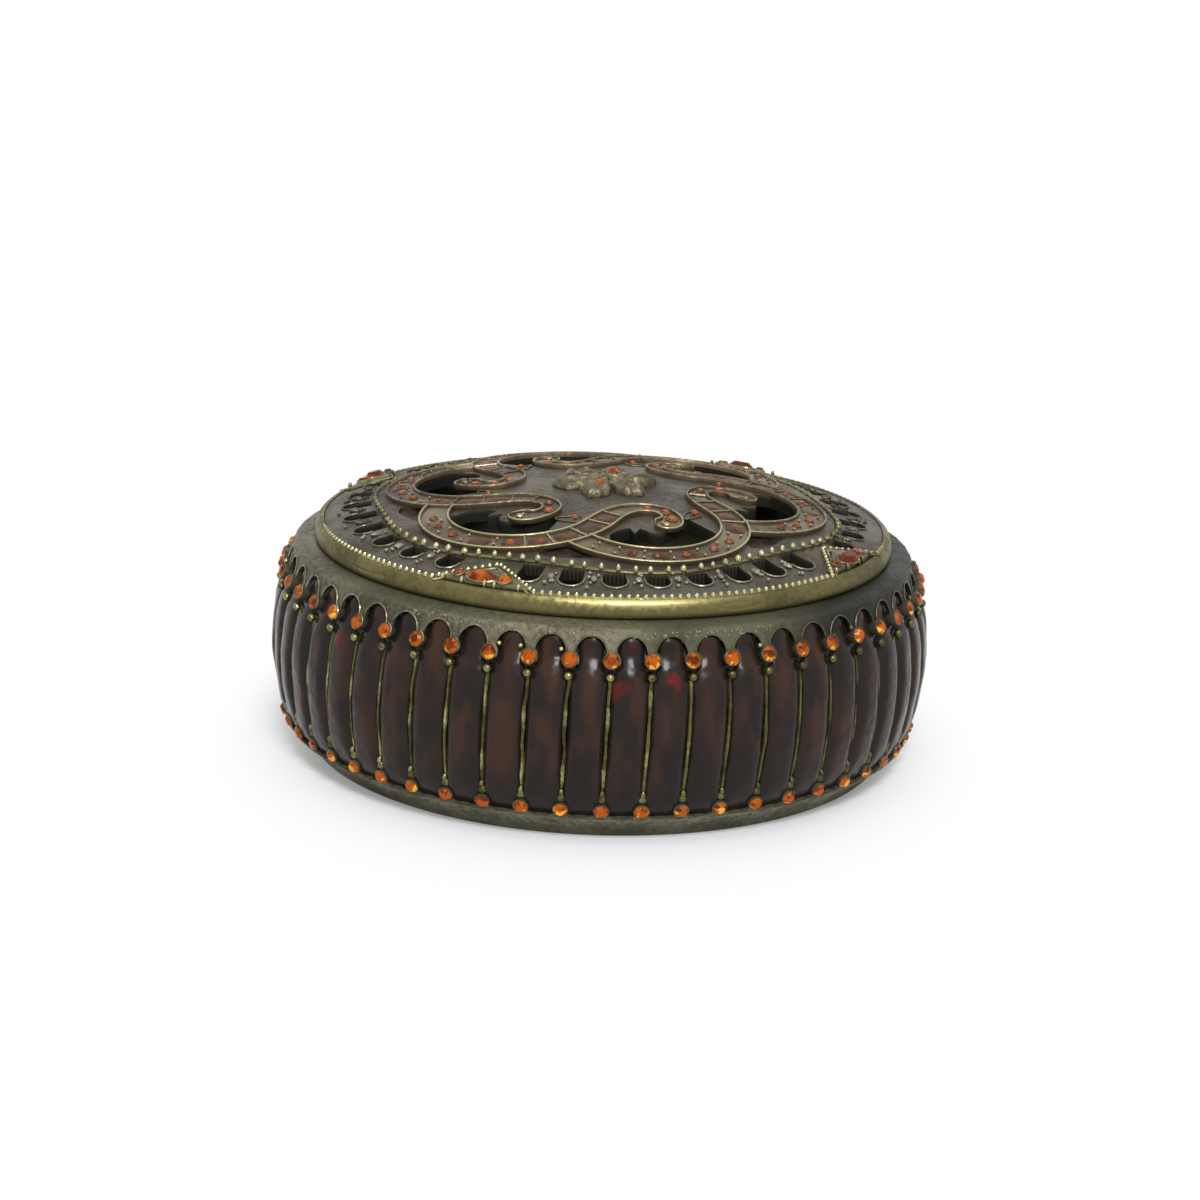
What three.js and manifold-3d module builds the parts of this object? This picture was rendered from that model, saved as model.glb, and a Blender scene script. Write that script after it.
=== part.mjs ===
// Round cast-metal jewellery box with a lift-off pierced lid.
// Millimetres, +Z up. The origin is the centre of the ring that the box stands on,
// and -Y is the front. In a profile the pairs are [radius, height].
import * as THREE from 'three';
import { mergeVertices } from 'three/addons/utils/BufferGeometryUtils.js';
import Module from 'manifold-3d';

const wasm = await Module();
wasm.setup();

// Driving dimensions of the box.
const RIBS = 54;
const RIB_START = -87.96; // degrees, place of the first rib at the upper row of stones
const RIB_LEAN = -0.74; // degrees, how far round the lower row stands from the upper one
const FOOT_R = 44.8;
const FOOT_TOP = 4.3;
const UNDERSIDE_Z = 1.6;
const FLOOR_Z = 3.4;
const WALL_IN = 46.3;
const WALL_TOP = 29.2;
const GROOVE_R = 47.9; // bottom of the groove between two lobes
const WALL_R = 50.95; // lobe crests at their fullest
const MOUTH_R = 41.9;
const RIM_Z = 31.8;
const STONE_LOW_Z = 5.25;
const STONE_TOP_Z = 27.45;
const STONE_R = 1.25;
const STONE_LEAN = (20 * Math.PI) / 180; // how far the two rows face down and up
const ARCH_Z = 27.9; // springing line of the arch wires
const PAD_R = 41.3;
const PAD_T = 1.6;
const GAP = 0.12;

// Driving dimensions of the lid.
const LID_R = 44.45;
const BAND_IN = 43.1;
const BAND_H = 2.9;
const PLATE_R = 43;
const PLATE_EDGE_Z = 34.3;
const DOME_RISE = 6.0;
const PLATE_T = 1.8;
const FLANGE_R = 41.4;
const FLANGE_T = 0.8;
const FLANGE_LOW = 28.6;
const ARMS = 6;
const ARM_HALF = 2.3;
const ARM_H = 1.0;
const BALL_R = 1.6;
const BEAD_ROW_R = 35.25;
const BEADS = 96;
const BEAD_R = 0.62;
const GRAIN_R = 43.3;
const GRAIN_HALF = 0.4;
const CLUSTERS = [-113, -29.5, 58, 154]; // degrees, places of the stone clusters
const CLUSTER_HALF = 10.5; // degrees
const CLUSTER_R = 41.5;
const ARCHES_PER_PANEL = 8;
const FIRST_ARCH = 9.3; // degrees from a cluster to the first arched opening after it
const LAST_ARCH = 13.3; // degrees from the last one to the next cluster

const rad = (degrees) => (degrees * Math.PI) / 180;
const V = (x, y, z) => new THREE.Vector3(x, y, z);
const polar = (r, a, z) => V(r * Math.cos(a), r * Math.sin(a), z);
const count = (n) => Array.from({ length: n }, (_, i) => i);
const PITCH = (2 * Math.PI) / RIBS;
const PHASE = rad(RIB_START);

const finishes = {
  bronze: [0x6e6444, 0.45, 0.9],
  brass: [0xb59a4c, 0.3, 0.95],
  patina: [0x3a332b, 0.5, 0.8],
  enamel: [0x2a0d0b, 0.15, 0.0],
  stone: [0xc9701c, 0.12, 0.0],
  velvet: [0x0c0a0b, 0.95, 0.0],
};
const box = new THREE.Group();

function add(name, geometry, finish) {
  const [color, roughness, metalness] = finishes[finish];
  const mesh = new THREE.Mesh(geometry, new THREE.MeshStandardMaterial({ color, roughness, metalness }));
  mesh.name = name;
  box.add(mesh);
}

// A closed body through rings of points, with a flat cap on each end or joined end to end.
function loft(rings, endless = false) {
  const n = rings[0].length;
  const points = rings.flat();
  const index = [];
  const spans = endless ? rings.length : rings.length - 1;
  for (let i = 0; i < spans; i++) {
    const next = (i + 1) % rings.length;
    for (let j = 0; j < n; j++) {
      const [a, b] = [i * n + j, i * n + ((j + 1) % n)];
      const [c, d] = [next * n + j, next * n + ((j + 1) % n)];
      index.push(a, b, d, a, d, c);
    }
  }
  if (!endless) {
    const last = (rings.length - 1) * n;
    for (let j = 1; j < n - 1; j++) index.push(0, j + 1, j, last, last + j, last + j + 1);
  }
  let volume = 0;
  for (let i = 0; i < index.length; i += 3) {
    const [a, b, c] = [points[index[i]], points[index[i + 1]], points[index[i + 2]]];
    volume += a.dot(V(0, 0, 0).crossVectors(b, c));
  }
  if (volume < 0) index.reverse();
  const geometry = new THREE.BufferGeometry().setFromPoints(points);
  geometry.setIndex(index);
  return geometry;
}

// A ring turned from a closed profile that stays off the axis.
function turnedRing(profile, segments = RIBS) {
  const angle = (i) => PHASE + (2 * Math.PI * i) / segments;
  return loft(count(segments).map((i) => profile.map(([r, z]) => polar(r, angle(i), z))), true);
}

// A disc turned from a profile that starts and ends on the axis. Each facet faces a rib.
function turnedDisc(profile, segments = RIBS) {
  const geometry = new THREE.LatheGeometry(profile.map(([r, z]) => new THREE.Vector2(r, z)), segments);
  geometry.rotateX(Math.PI / 2);
  geometry.rotateZ(PHASE + Math.PI / 2 + PITCH / 2);
  return geometry;
}

// Manifold solids, for joining and cutting.
function solid(geometry) {
  geometry.deleteAttribute('normal');
  geometry.deleteAttribute('uv');
  const merged = mergeVertices(geometry, 1e-3);
  const index = merged.getIndex().array;
  const kept = [];
  for (let i = 0; i < index.length; i += 3) {
    const [a, b, c] = [index[i], index[i + 1], index[i + 2]];
    if (a !== b && b !== c && c !== a) kept.push(a, b, c);
  }
  const vertProperties = merged.getAttribute('position').array;
  return new wasm.Manifold(new wasm.Mesh({ numProp: 3, vertProperties, triVerts: new Uint32Array(kept) }));
}

function geometryOf(manifold) {
  const mesh = manifold.getMesh();
  const geometry = new THREE.BufferGeometry();
  geometry.setAttribute('position', new THREE.BufferAttribute(new Float32Array(mesh.vertProperties), 3));
  geometry.setIndex(new THREE.BufferAttribute(new Uint32Array(mesh.triVerts), 1));
  return geometry;
}

const joined = (geometries) => geometryOf(geometries.map(solid).reduce((all, one) => all.add(one)));

// A point by the wall: s along the wall from the rib that starts at angle a, at radius r and
// height z. The ribs lean, all by the same turn.
function wallPoint(a, s, r, z) {
  const turn = a + (rad(RIB_LEAN) * (STONE_TOP_Z - z)) / (STONE_TOP_Z - STONE_LOW_Z);
  return V(r * Math.cos(turn) - s * Math.sin(turn), r * Math.sin(turn) + s * Math.cos(turn), z);
}

// A round stone of the lower row in its bezel, on the wall at angle a, facing down a little.
function lowerStone(a) {
  const ring = (size, r) => count(6).map((i) => {
    const t = (2 * Math.PI * (i + 0.5)) / 6;
    const up = size * Math.sin(t);
    return wallPoint(a, size * Math.cos(t), r + up * Math.tan(STONE_LEAN), STONE_LOW_Z + up);
  });
  return loft([ring(STONE_R + 0.12, GROOVE_R + 0.75), ring(STONE_R * 0.6, GROOVE_R + 2.1)]);
}

// Foot and floor in one casting, with the lower row of set stones round its edge.
function base() {
  const foot = turnedDisc([
    [0, UNDERSIDE_Z], [40.2, UNDERSIDE_Z], [41.4, 0], [FOOT_R, 0], [FOOT_R + 0.9, 1.5], [48.8, FOOT_TOP],
    [46, FOOT_TOP], [45.6, FLOOR_Z], [0, FLOOR_Z],
  ]);
  const stones = count(RIBS).map((k) => lowerStone(PHASE + k * PITCH));
  return joined([foot, ...stones]);
}

// Wall of 54 upright lobes. Each lobe turns in at its foot, swells to its full width and
// narrows to a finger at the top.
function lobedWall() {
  const sag = 0.55;
  const levels = [
    { z: FOOT_TOP + GAP, half: 1.9, edge: GROOVE_R + 0.1, top: 48.5 },
    { z: 8.5, half: 2.2, edge: 49.95 - sag, top: 49.95 },
    { z: 16, half: 2.2, edge: WALL_R - sag, top: WALL_R },
    { z: 23.2, half: 2.15, edge: 50.3 - sag, top: 50.3 },
    { z: 26, half: 1.45, edge: GROOVE_R + 0.1, top: 49.5 },
    { z: WALL_TOP, half: 1.35, edge: GROOVE_R + 0.05, top: 48.2 },
  ];
  const station = (angle, side, r) => [
    wallPoint(angle, side * levels[0].half, WALL_IN, levels[0].z),
    ...levels.map((level) => wallPoint(angle, side * level.half, r(level), level.z)),
    wallPoint(angle, side * levels[0].half, WALL_IN, WALL_TOP),
  ];
  return loft(count(RIBS).flatMap((k) => {
    const groove = PHASE + k * PITCH;
    const middle = groove + PITCH / 2;
    return [
      station(groove, 0, () => GROOVE_R), station(middle, -1, (level) => level.edge),
      station(middle, 0, (level) => level.top), station(middle, 1, (level) => level.edge),
    ];
  }), true);
}

// Shoulder that closes the top of the wall and forms the mouth.
const shoulder = () => turnedRing([
  [WALL_IN, WALL_TOP + GAP], [48.1, WALL_TOP + GAP], [48.05, 30.1], [47.3, 30.75], [44.6, RIM_Z],
  [MOUTH_R, RIM_Z], [MOUTH_R, 30.2],
]);

// Soldered wirework: a wire that arches over each lobe and carries a set stone between two
// arches, and a V wire that runs down each groove from the stone.
function arcade() {
  const back = GROOVE_R + 0.3;
  const stations = [];
  for (let k = 0; k < RIBS; k++) {
    const groove = PHASE + k * PITCH;
    [[-1, 0.75], [0, STONE_R + 0.12], [1, 0.75]].forEach(([side, half]) => {
      const at = (r, up) => wallPoint(groove, side, r, STONE_TOP_Z + up);
      const tip = half * 0.7;
      const lean = tip * Math.tan(STONE_LEAN);
      const front = back + 1.7;
      stations.push([at(back, -half), at(front + lean, -tip), at(front - lean, tip), at(back, half)]);
    });
    [30, 90, 150].forEach((degrees) => {
      const t = rad(degrees);
      const at = ([side, up, out]) =>
        wallPoint(groove + PITCH / 2, -side * Math.cos(t), back + out, ARCH_Z + up * Math.sin(t));
      stations.push([[1.9, 1.85, 0], [2.05, 1.95, 0.9], [2.2, 2.1, 0.9], [2.4, 2.25, 0]].map(at));
    });
  }
  const section = [[0, GROOVE_R + 0.2], [-0.35, back + 1.4], [0.35, back + 1.4]];
  const wire = (groove) => loft([7.2, STONE_TOP_Z - 1].map((z) =>
    section.map(([side, r]) => wallPoint(groove, side, r, z))));
  return joined([loft(stations, true), ...count(RIBS).map((k) => wire(PHASE + k * PITCH))]);
}

const pad = () => turnedDisc([[0, FLOOR_Z + GAP], [PAD_R, FLOOR_Z + GAP], [PAD_R, FLOOR_Z + PAD_T - 0.5],
  [PAD_R - 0.7, FLOOR_Z + PAD_T], [0, FLOOR_Z + PAD_T]], 36);

// Height of the lid's domed top face at radius r.
const domeZ = (r) => PLATE_EDGE_Z + DOME_RISE * (1 - (r / LID_R) ** 2);
const onDome = (x, y, up) => V(x, y, domeZ(Math.hypot(x, y)) + up);

// A straight cutter down through the lid from a plan outline.
function cutter(points) {
  const shape = new THREE.Shape(points.map(([x, y]) => new THREE.Vector2(x, y)));
  const geometry = new THREE.ExtrudeGeometry(shape, { depth: 14, bevelEnabled: false });
  geometry.translate(0, 0, PLATE_EDGE_Z - 5);
  return geometry;
}

const arc = (x, y, r, from, to, steps) =>
  count(steps + 1).map((i) => {
    const a = rad(from + ((to - from) * i) / steps);
    return [x + r * Math.cos(a), y + r * Math.sin(a)];
  });

// Comma between a scroll and the next one. It runs along the inside of the next one's C, comes
// back round the hook and its ball, and has a spur in the throat.
const COMMA = [
  ...arc(6.4, -17.9, 10.9, -119, -12, 8), [14.6, -17.3], [12.4, -14.9],
  ...arc(6.4, -16.9, 4.8, 28, -52, 4), ...arc(7.7, -20.4, BALL_R + 0.1, -25, -150, 2),
  [5.4, -20.6], [4.6, -22.6], [3.8, -20.7], [2.3, -21.5], [0.9, -23.6],
];

function panelAngles() {
  const angles = [];
  CLUSTERS.forEach((start, i) => {
    const end = CLUSTERS[(i + 1) % CLUSTERS.length] + (i === CLUSTERS.length - 1 ? 360 : 0);
    const [from, to] = [start + FIRST_ARCH, end - LAST_ARCH];
    for (let j = 0; j < ARCHES_PER_PANEL; j++) angles.push(from + ((to - from) * j) / (ARCHES_PER_PANEL - 1));
  });
  return angles;
}

// Pierced dome: six commas and a border of small arched openings.
function lidPlate() {
  const top = [PLATE_R, 30, 15, 0].map((r) => [r, domeZ(r)]);
  const bottom = [0, 22, PLATE_R].map((r) => [r, domeZ(r) - PLATE_T]);
  const disc = solid(turnedDisc([...bottom, ...top], 36));
  const commas = count(ARMS).map((k) => cutter(COMMA).rotateZ(rad(60 * k)));
  const archShape = [[36.7, -1.55], ...arc(39.6, 0, 1.75, -90, 90, 3), [36.7, 1.55]];
  const arches = panelAngles().map((angle) => cutter(archShape).rotateZ(rad(angle)));
  return geometryOf([...commas, ...arches].map(solid).reduce((left, cut) => left.subtract(cut), disc));
}

const band = () => turnedRing([
  [BAND_IN, RIM_Z + GAP], [44, RIM_Z + GAP], [LID_R, RIM_Z + 0.9], [LID_R, RIM_Z + 2.1], [44, RIM_Z + BAND_H],
  [BAND_IN, RIM_Z + BAND_H],
]);

const flange = () => turnedRing([
  [FLANGE_R - FLANGE_T, FLANGE_LOW], [FLANGE_R, FLANGE_LOW], [FLANGE_R, 33.1], [FLANGE_R - FLANGE_T, 33.1],
], 36);

// Centre line of a scroll: a long round C that eases into a small hook of the other hand.
// Its curvature is even along the C, runs over to the hook's at a steady rate, and is even again.
function scrollLine() {
  const [cLength, ease, hook] = [33.4, 13, 9.2];
  const [cCurve, hookCurve] = [1 / 13.0, -1 / 3.65];
  const curve = (s) => cCurve + (hookCurve - cCurve) * THREE.MathUtils.clamp((s - cLength) / ease, 0, 1);
  const stops = [
    ...count(11).map((i) => (cLength * i) / 11), ...count(5).map((i) => cLength + (ease * i) / 5),
    ...count(5).map((i) => cLength + ease + (hook * i) / 4),
  ];
  let [x, y, heading, s] = [-25.3, -14.5, rad(-90), 0];
  const step = 0.05;
  return stops.map((stop) => {
    for (; s < stop - 1e-9; s += step) {
      heading += (curve(s + step / 2) * step) / 2;
      x += Math.cos(heading) * step;
      y += Math.sin(heading) * step;
      heading += (curve(s + step / 2) * step) / 2;
    }
    return { x, y, heading, s };
  });
}

// One scroll: a shallow trough with raised edges that follows the dome.
function scroll(turn) {
  const line = scrollLine();
  const end = line[line.length - 1].s;
  const rings = line.map(({ x, y, heading, s }) => {
    const taper = 1 - 0.42 * THREE.MathUtils.smoothstep(s, end * 0.62, end * 0.85);
    const half = s > end - BALL_R ? BALL_R : ARM_HALF * taper;
    const section = [[-half, 0], [-half + 0.1, ARM_H], [0, ARM_H * 0.45], [half - 0.1, ARM_H], [half, 0]];
    return section.map(([side, up]) =>
      onDome(x - side * Math.sin(heading), y + side * Math.cos(heading), up + GAP));
  });
  return loft(rings).rotateZ(turn);
}

// Flower of six blunt petals in the middle of the lid.
function flower() {
  const ring = (out, inner, up) => count(12).map((i) => {
    const r = i % 2 ? inner : out;
    const a = rad(30 * i + 15);
    return onDome(r * Math.cos(a), r * Math.sin(a), up);
  });
  return loft([ring(8, 5.2, 0.35), ring(7.6, 4.8, 0.9), ring(3, 2.4, 1.1)]);
}

const roundStone = (x, y, r, foot, h) => loft([[r, 0], [r, h * 0.5], [r * 0.5, h]].map(([size, up]) =>
  count(8).map((i) => onDome(x, y, foot + up).add(polar(size, (Math.PI * i) / 4, 0)))));

// Small set stone in the throat between two scrolls.
const junctionStone = (turn) => roundStone(-4.25, -18, 1, GAP, 1.1).rotateZ(turn);

// Beaded wire round the scrolls: round beads joined by thin necks.
const beadRow = () => loft(count(BEADS * 2).map((i) => {
  const a = (Math.PI * i) / BEADS;
  const size = i % 2 ? BEAD_R * 0.45 : BEAD_R;
  return [[size, -0.5], [0, size], [-size, -0.5]].map(([out, up]) =>
    polar(BEAD_ROW_R + out, a, domeZ(BEAD_ROW_R) + 0.9 + up));
}), true);

// One length of fine grain wire along the rim, between two clusters.
function grain(i) {
  const end = CLUSTERS[(i + 1) % CLUSTERS.length] + (i === CLUSTERS.length - 1 ? 360 : 0);
  const [from, to] = [CLUSTERS[i] + CLUSTER_HALF, end - CLUSTER_HALF];
  const steps = 14;
  return loft(count(steps + 1).map((j) => {
    const a = rad(from + ((to - from) * j) / steps);
    return [[-GRAIN_HALF, 0], [-0.3, 0.7], [0.3, 0.7], [GRAIN_HALF, 0]].map(([out, up]) =>
      polar(GRAIN_R + out, a, domeZ(GRAIN_R - GRAIN_HALF) + GAP + up));
  }));
}

// Raised setting of a cluster, bowed with the rim and drawn up to a blunt point inside.
function clusterSetting(angle) {
  const steps = 6;
  return loft(count(steps + 1).map((j) => {
    const t = (2 * j) / steps - 1;
    const a = rad(angle + t * (CLUSTER_HALF - 0.8));
    const [inner, outer, height] = [42 - 3.4 * (1 - Math.abs(t)), 42.9, 0.8 * (1 - 0.5 * t * t)];
    return [[inner, 0], [inner + 0.3, height], [outer - 0.3, height], [outer, 0]].map(([r, up]) =>
      polar(r, a, domeZ(r) + GAP + up));
  }));
}

// Long pointed stone of a cluster, with its two ends along the rim.
const MARQUISE = [
  [-3, 0], [-1.5, 1.1], [0, 1.45], [1.5, 1.1], [3, 0], [1.5, -1.1], [0, -1.45], [-1.5, -1.1],
];
const marquise = (angle) => loft([[1, 0], [0.95, 0.35], [0.45, 0.8]].map(([size, up]) =>
  MARQUISE.map(([along, out]) => {
    const r = CLUSTER_R + out * size;
    return polar(r, rad(angle) + (along * size) / CLUSTER_R, domeZ(r) + GAP + 0.95 + up);
  })));

add('base', base(), 'bronze');
add('lobed_wall', lobedWall(), 'enamel');
add('shoulder_ring', shoulder(), 'bronze');
add('wire_arcade', arcade(), 'brass');
add('floor_pad', pad(), 'velvet');

add('lid_plate', lidPlate(), 'patina');
add('rim_band', band(), 'brass');
add('locating_flange', flange(), 'bronze');
count(ARMS).forEach((k) => add(`scroll_${k + 1}`, scroll(rad(60 * k)), 'brass'));
add('centre_flower', flower(), 'brass');
add('flower_stone_front', roundStone(-0.5, -5, 1.3, 1.15, 0.7), 'stone');
add('flower_stone_back', roundStone(1, 3.5, 1.3, 1.15, 0.5), 'stone');
count(ARMS).forEach((k) => add(`junction_stone_${k + 1}`, junctionStone(rad(60 * k)), 'stone'));
add('bead_row', beadRow(), 'brass');
count(CLUSTERS.length).forEach((i) => {
  add(`grain_wire_${i + 1}`, grain(i), 'brass');
  add(`cluster_setting_${i + 1}`, clusterSetting(CLUSTERS[i]), 'brass');
  add(`marquise_${i + 1}`, marquise(CLUSTERS[i]), 'stone');
});

export default box;
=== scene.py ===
# Round cast-metal jewellery box with a pierced lift-off lid, seen from the front and from a
# little above. Lengths are millimetres until a mesh is made, and -Y is the front.
import bpy
import numpy as np
from mathutils import Matrix, Vector
from mathutils.geometry import delaunay_2d_cdt


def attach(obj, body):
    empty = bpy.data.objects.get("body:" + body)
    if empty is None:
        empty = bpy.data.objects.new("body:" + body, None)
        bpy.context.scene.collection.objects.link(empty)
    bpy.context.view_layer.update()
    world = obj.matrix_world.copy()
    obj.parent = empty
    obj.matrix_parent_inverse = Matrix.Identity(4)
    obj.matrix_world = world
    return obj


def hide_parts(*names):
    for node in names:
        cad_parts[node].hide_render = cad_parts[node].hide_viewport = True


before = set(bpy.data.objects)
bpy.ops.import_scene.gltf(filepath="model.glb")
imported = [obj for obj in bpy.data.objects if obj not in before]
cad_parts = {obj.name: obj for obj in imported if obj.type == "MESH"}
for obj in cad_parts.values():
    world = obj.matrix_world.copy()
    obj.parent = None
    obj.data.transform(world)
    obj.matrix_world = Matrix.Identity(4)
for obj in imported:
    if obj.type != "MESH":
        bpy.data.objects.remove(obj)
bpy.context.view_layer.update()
scene = bpy.context.scene
MM = 0.001

# Camera: a long lens, a little higher than the lid and rolled by two degrees, so that the right
# side of the box sits lower in the picture.
CAMERA_PLACE = Vector((0, -389.9, 135.8))
CAMERA_AIM = Vector((0, 0, 27.45))
CAMERA_ROLL = np.radians(2.145)
CAMERA_LENS = 78.0
PICTURE_SIDE = 1200
AXIS_OFF_MIDDLE = (2.25, 35.2)  # pixels of that picture, right and up, to the lens axis


def looking(place, target):
    """The matrix of a camera or lamp that stands at a place and looks at a target."""
    turn = (target - place).to_track_quat("-Z", "Y").to_matrix().to_4x4()
    return Matrix.Translation(place * MM) @ turn


camera = bpy.data.objects.new("camera", bpy.data.cameras.new("camera"))
scene.collection.objects.link(camera)
camera.data.lens = CAMERA_LENS
camera.data.shift_x = -AXIS_OFF_MIDDLE[0] / PICTURE_SIDE
camera.data.shift_y = -AXIS_OFF_MIDDLE[1] / PICTURE_SIDE
camera.data.clip_start = 0.01
camera.matrix_world = looking(CAMERA_PLACE, CAMERA_AIM) @ Matrix.Rotation(CAMERA_ROLL, 4, "Z")
scene.camera = camera
scene.view_settings.view_transform = "Standard"

# Studio: a white sheet for a floor, which away from the box is seen as plain white, an even white
# room, a wide soft lamp overhead and a small bright window high in front for the glints.
FLOOR_SIDE = 9000
FLOOR_WHITE = 0.8
FADE_START, FADE_END = 0.052, 0.078  # metres from the middle, where the sheet turns white
FADE_SQUEEZE = (1.25, 1, 1)
ROOM_FILL = 0.4


class Shade:
    """A socket of a shader. Arithmetic on it adds Math nodes, and node() adds any other node."""

    def __init__(self, tree, socket=None):
        self.tree = tree
        self.socket = socket

    def node(self, kind, inputs, output=0, **settings):
        """A node of that type: first its settings, then the values or links of its sockets."""
        made = self.tree.nodes.new("ShaderNode" + kind)
        for name, value in settings.items():
            setattr(made, name, value)
        for key, value in inputs.items():
            if isinstance(value, Shade):
                self.tree.links.new(value.socket, made.inputs[key])
            else:
                made.inputs[key].default_value = value
        return Shade(self.tree, made.outputs[output])

    def math(self, operation, *values):
        return self.node("Math", dict(enumerate(values)), operation=operation)

    def __add__(self, other):
        return self.math("ADD", self, other)

    def __sub__(self, other):
        return self.math("SUBTRACT", self, other)

    def __rsub__(self, other):
        return self.math("SUBTRACT", other, self)

    def __mul__(self, other):
        return self.math("MULTIPLY", self, other)

    __radd__ = __add__
    __rmul__ = __mul__

    def between(self, low, high):
        """0 below low, 1 above high and an even S-curve from one to the other."""
        values = {"Value": self, "From Min": low, "From Max": high}
        return self.node("MapRange", values, interpolation_type="SMOOTHSTEP")

    def pick(self, colour_at_0, colour_at_1):
        """The one colour where this is 0, the other where it is 1, and mixtures between."""
        return self.node("Mix", {0: self, 6: colour_at_0, 7: colour_at_1}, 2, data_type="RGBA")


def looked_at(tree):
    """1 for what the camera, a reflection or a refraction sees, and 0 for the light that falls."""
    camera_ray, glossy, through = (
        Shade(tree).node("LightPath", {}, f"Is {kind} Ray") for kind in ("Camera", "Glossy", "Transmission")
    )
    return camera_ray.math("MAXIMUM", camera_ray, glossy.math("MAXIMUM", glossy, through))


room = bpy.data.worlds.new("room")
room.use_nodes = True
scene.world = room
level = ROOM_FILL + (1 - ROOM_FILL) * looked_at(room.node_tree)
room.node_tree.links.new(level.socket, room.node_tree.nodes["Background"].inputs["Strength"])
room.node_tree.nodes["Background"].inputs["Color"].default_value = (1, 1, 1, 1)

sheet = bpy.data.materials.new("white_sheet")
sheet.use_nodes = True
paper = sheet.node_tree.nodes["Principled BSDF"]
paper.inputs["Roughness"].default_value = 1.0
paper.inputs["Specular IOR Level"].default_value = 0.0
paper.inputs["Emission Strength"].default_value = 1.0
spot = Shade(sheet.node_tree).node("TexCoord", {}, "Object")
spot = spot.node("VectorMath", {0: spot, 1: FADE_SQUEEZE}, operation="MULTIPLY")
away = spot.node("VectorMath", {0: spot}, "Value", operation="LENGTH").between(FADE_START, FADE_END)
seen = looked_at(sheet.node_tree)
dulled = (away * seen).pick((FLOOR_WHITE,) * 3 + (1,), (0, 0, 0, 1))
sheet.node_tree.links.new(dulled.socket, paper.inputs["Base Color"])
lift = seen * ((1 - FLOOR_WHITE) + FLOOR_WHITE * away)
sheet.node_tree.links.new(lift.socket, paper.inputs["Emission Color"])

half_floor = FLOOR_SIDE / 2 * MM
floor_mesh = bpy.data.meshes.new("floor")
floor_corners = [(x * half_floor, y * half_floor, 0) for x, y in ((-1, -1), (1, -1), (1, 1), (-1, 1))]
floor_mesh.from_pydata(floor_corners, [], [(0, 1, 2, 3)])
floor_mesh.materials.append(sheet)
floor = bpy.data.objects.new("floor", floor_mesh)
scene.collection.objects.link(floor)


def lamp(name, azimuth, elevation, distance, width, height, watts, tint=(1, 1, 1)):
    """An oblong soft lamp that faces the box: azimuth 0 is the front, 90 the right, in degrees."""
    data = bpy.data.lights.new(name, "AREA")
    data.shape = "RECTANGLE"
    data.size = width * MM
    data.size_y = height * MM
    data.energy = watts
    data.color = tint
    turn, rise = np.radians(azimuth), np.radians(elevation)
    place = Vector((np.sin(turn) * np.cos(rise), -np.cos(turn) * np.cos(rise), np.sin(rise))) * distance
    made = bpy.data.objects.new(name, data)
    made.matrix_world = looking(place, Vector())
    scene.collection.objects.link(made)


lamp("overhead", 0, 80, 1100, 900, 900, 2.4)
lamp("window", 9, 44, 900, 260, 170, 5.0, (0.93, 0.95, 1.0))


# Foot: the turned foot ring and floor of the box in one casting, in antique bronze. Its slanted
# band carries the lower row of stones on its top edge.
UNDERSIDE_Z = 1.6
FLOOR_Z = 3.4
FOOT_OUTLINE = [
    (36.0, UNDERSIDE_Z), (40.2, UNDERSIDE_Z), (41.4, 0.0), (44.8, 0.0), (45.7, 1.5), (47.3, 3.2),
    (48.8, 4.3), (46.0, 4.3), (45.6, FLOOR_Z), (36.0, FLOOR_Z),
]
FOOT_SEGMENTS = 216
PAINTED_SHADE_RUB = -3.0  # the rub of a place that is painted black as shade
PAINTED_SHADE_BLACK = (36, 36, 29)
# Each metal is listed as its own colour, the colour of its dirt and that of its worn places, which also
# serves as painted light.
BRONZE = [(97, 95, 76), (77, 75, 58), (144, 138, 112)]


def colour(level):
    """The linear colour of a screen colour, which is three numbers from 0 to 255."""
    share = np.array(level) / 255
    linear = np.where(share <= 0.04045, share / 12.92, ((share + 0.055) / 1.055) ** 2.4)
    return (*linear.tolist(), 1.0)


def new_finish(name, constants):
    """A material with one Principled surface, its constant sockets and its place in millimetres."""
    material = bpy.data.materials.new(name)
    material.use_nodes = True
    for label, value in constants.items():
        material.node_tree.nodes["Principled BSDF"].inputs[label].default_value = value
    start = Shade(material.node_tree)
    place = start.node("TexCoord", {}, "Object")
    return material, start.node("VectorMath", {0: place, "Scale": 1 / MM}, operation="SCALE")


def feed(material, label, value):
    """Links a shade to a socket of the material's surface."""
    surface = material.node_tree.nodes["Principled BSDF"]
    material.node_tree.links.new(value.socket, surface.inputs[label])


def clouds(place, per_mm, detail=3.0, stretch=(1, 1, 1)):
    """Soft noise about 0.5 with so many clouds a millimetre along each axis."""
    spread = tuple(per_mm * share for share in stretch)
    spot = place.node("VectorMath", {0: place, 1: spread}, operation="MULTIPLY")
    return place.node("TexNoise", {"Vector": spot, "Scale": 1.0, "Detail": detail, "Roughness": 0.6})


def roughen(material, place, per_mm, detail, depth):
    """Gives a material's surface a relief of soft noise, so many millimetres deep."""
    height = clouds(place, per_mm, detail)
    bump = place.node("Bump", {"Height": height, "Strength": 1.0, "Distance": depth * MM})
    feed(material, "Normal", bump)


def mark(place, name="rub_and_painted_light"):
    """The attribute of that name which each piece carries, a number at each point or face."""
    return place.node("Attribute", {}, "Fac", attribute_name=name)


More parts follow.
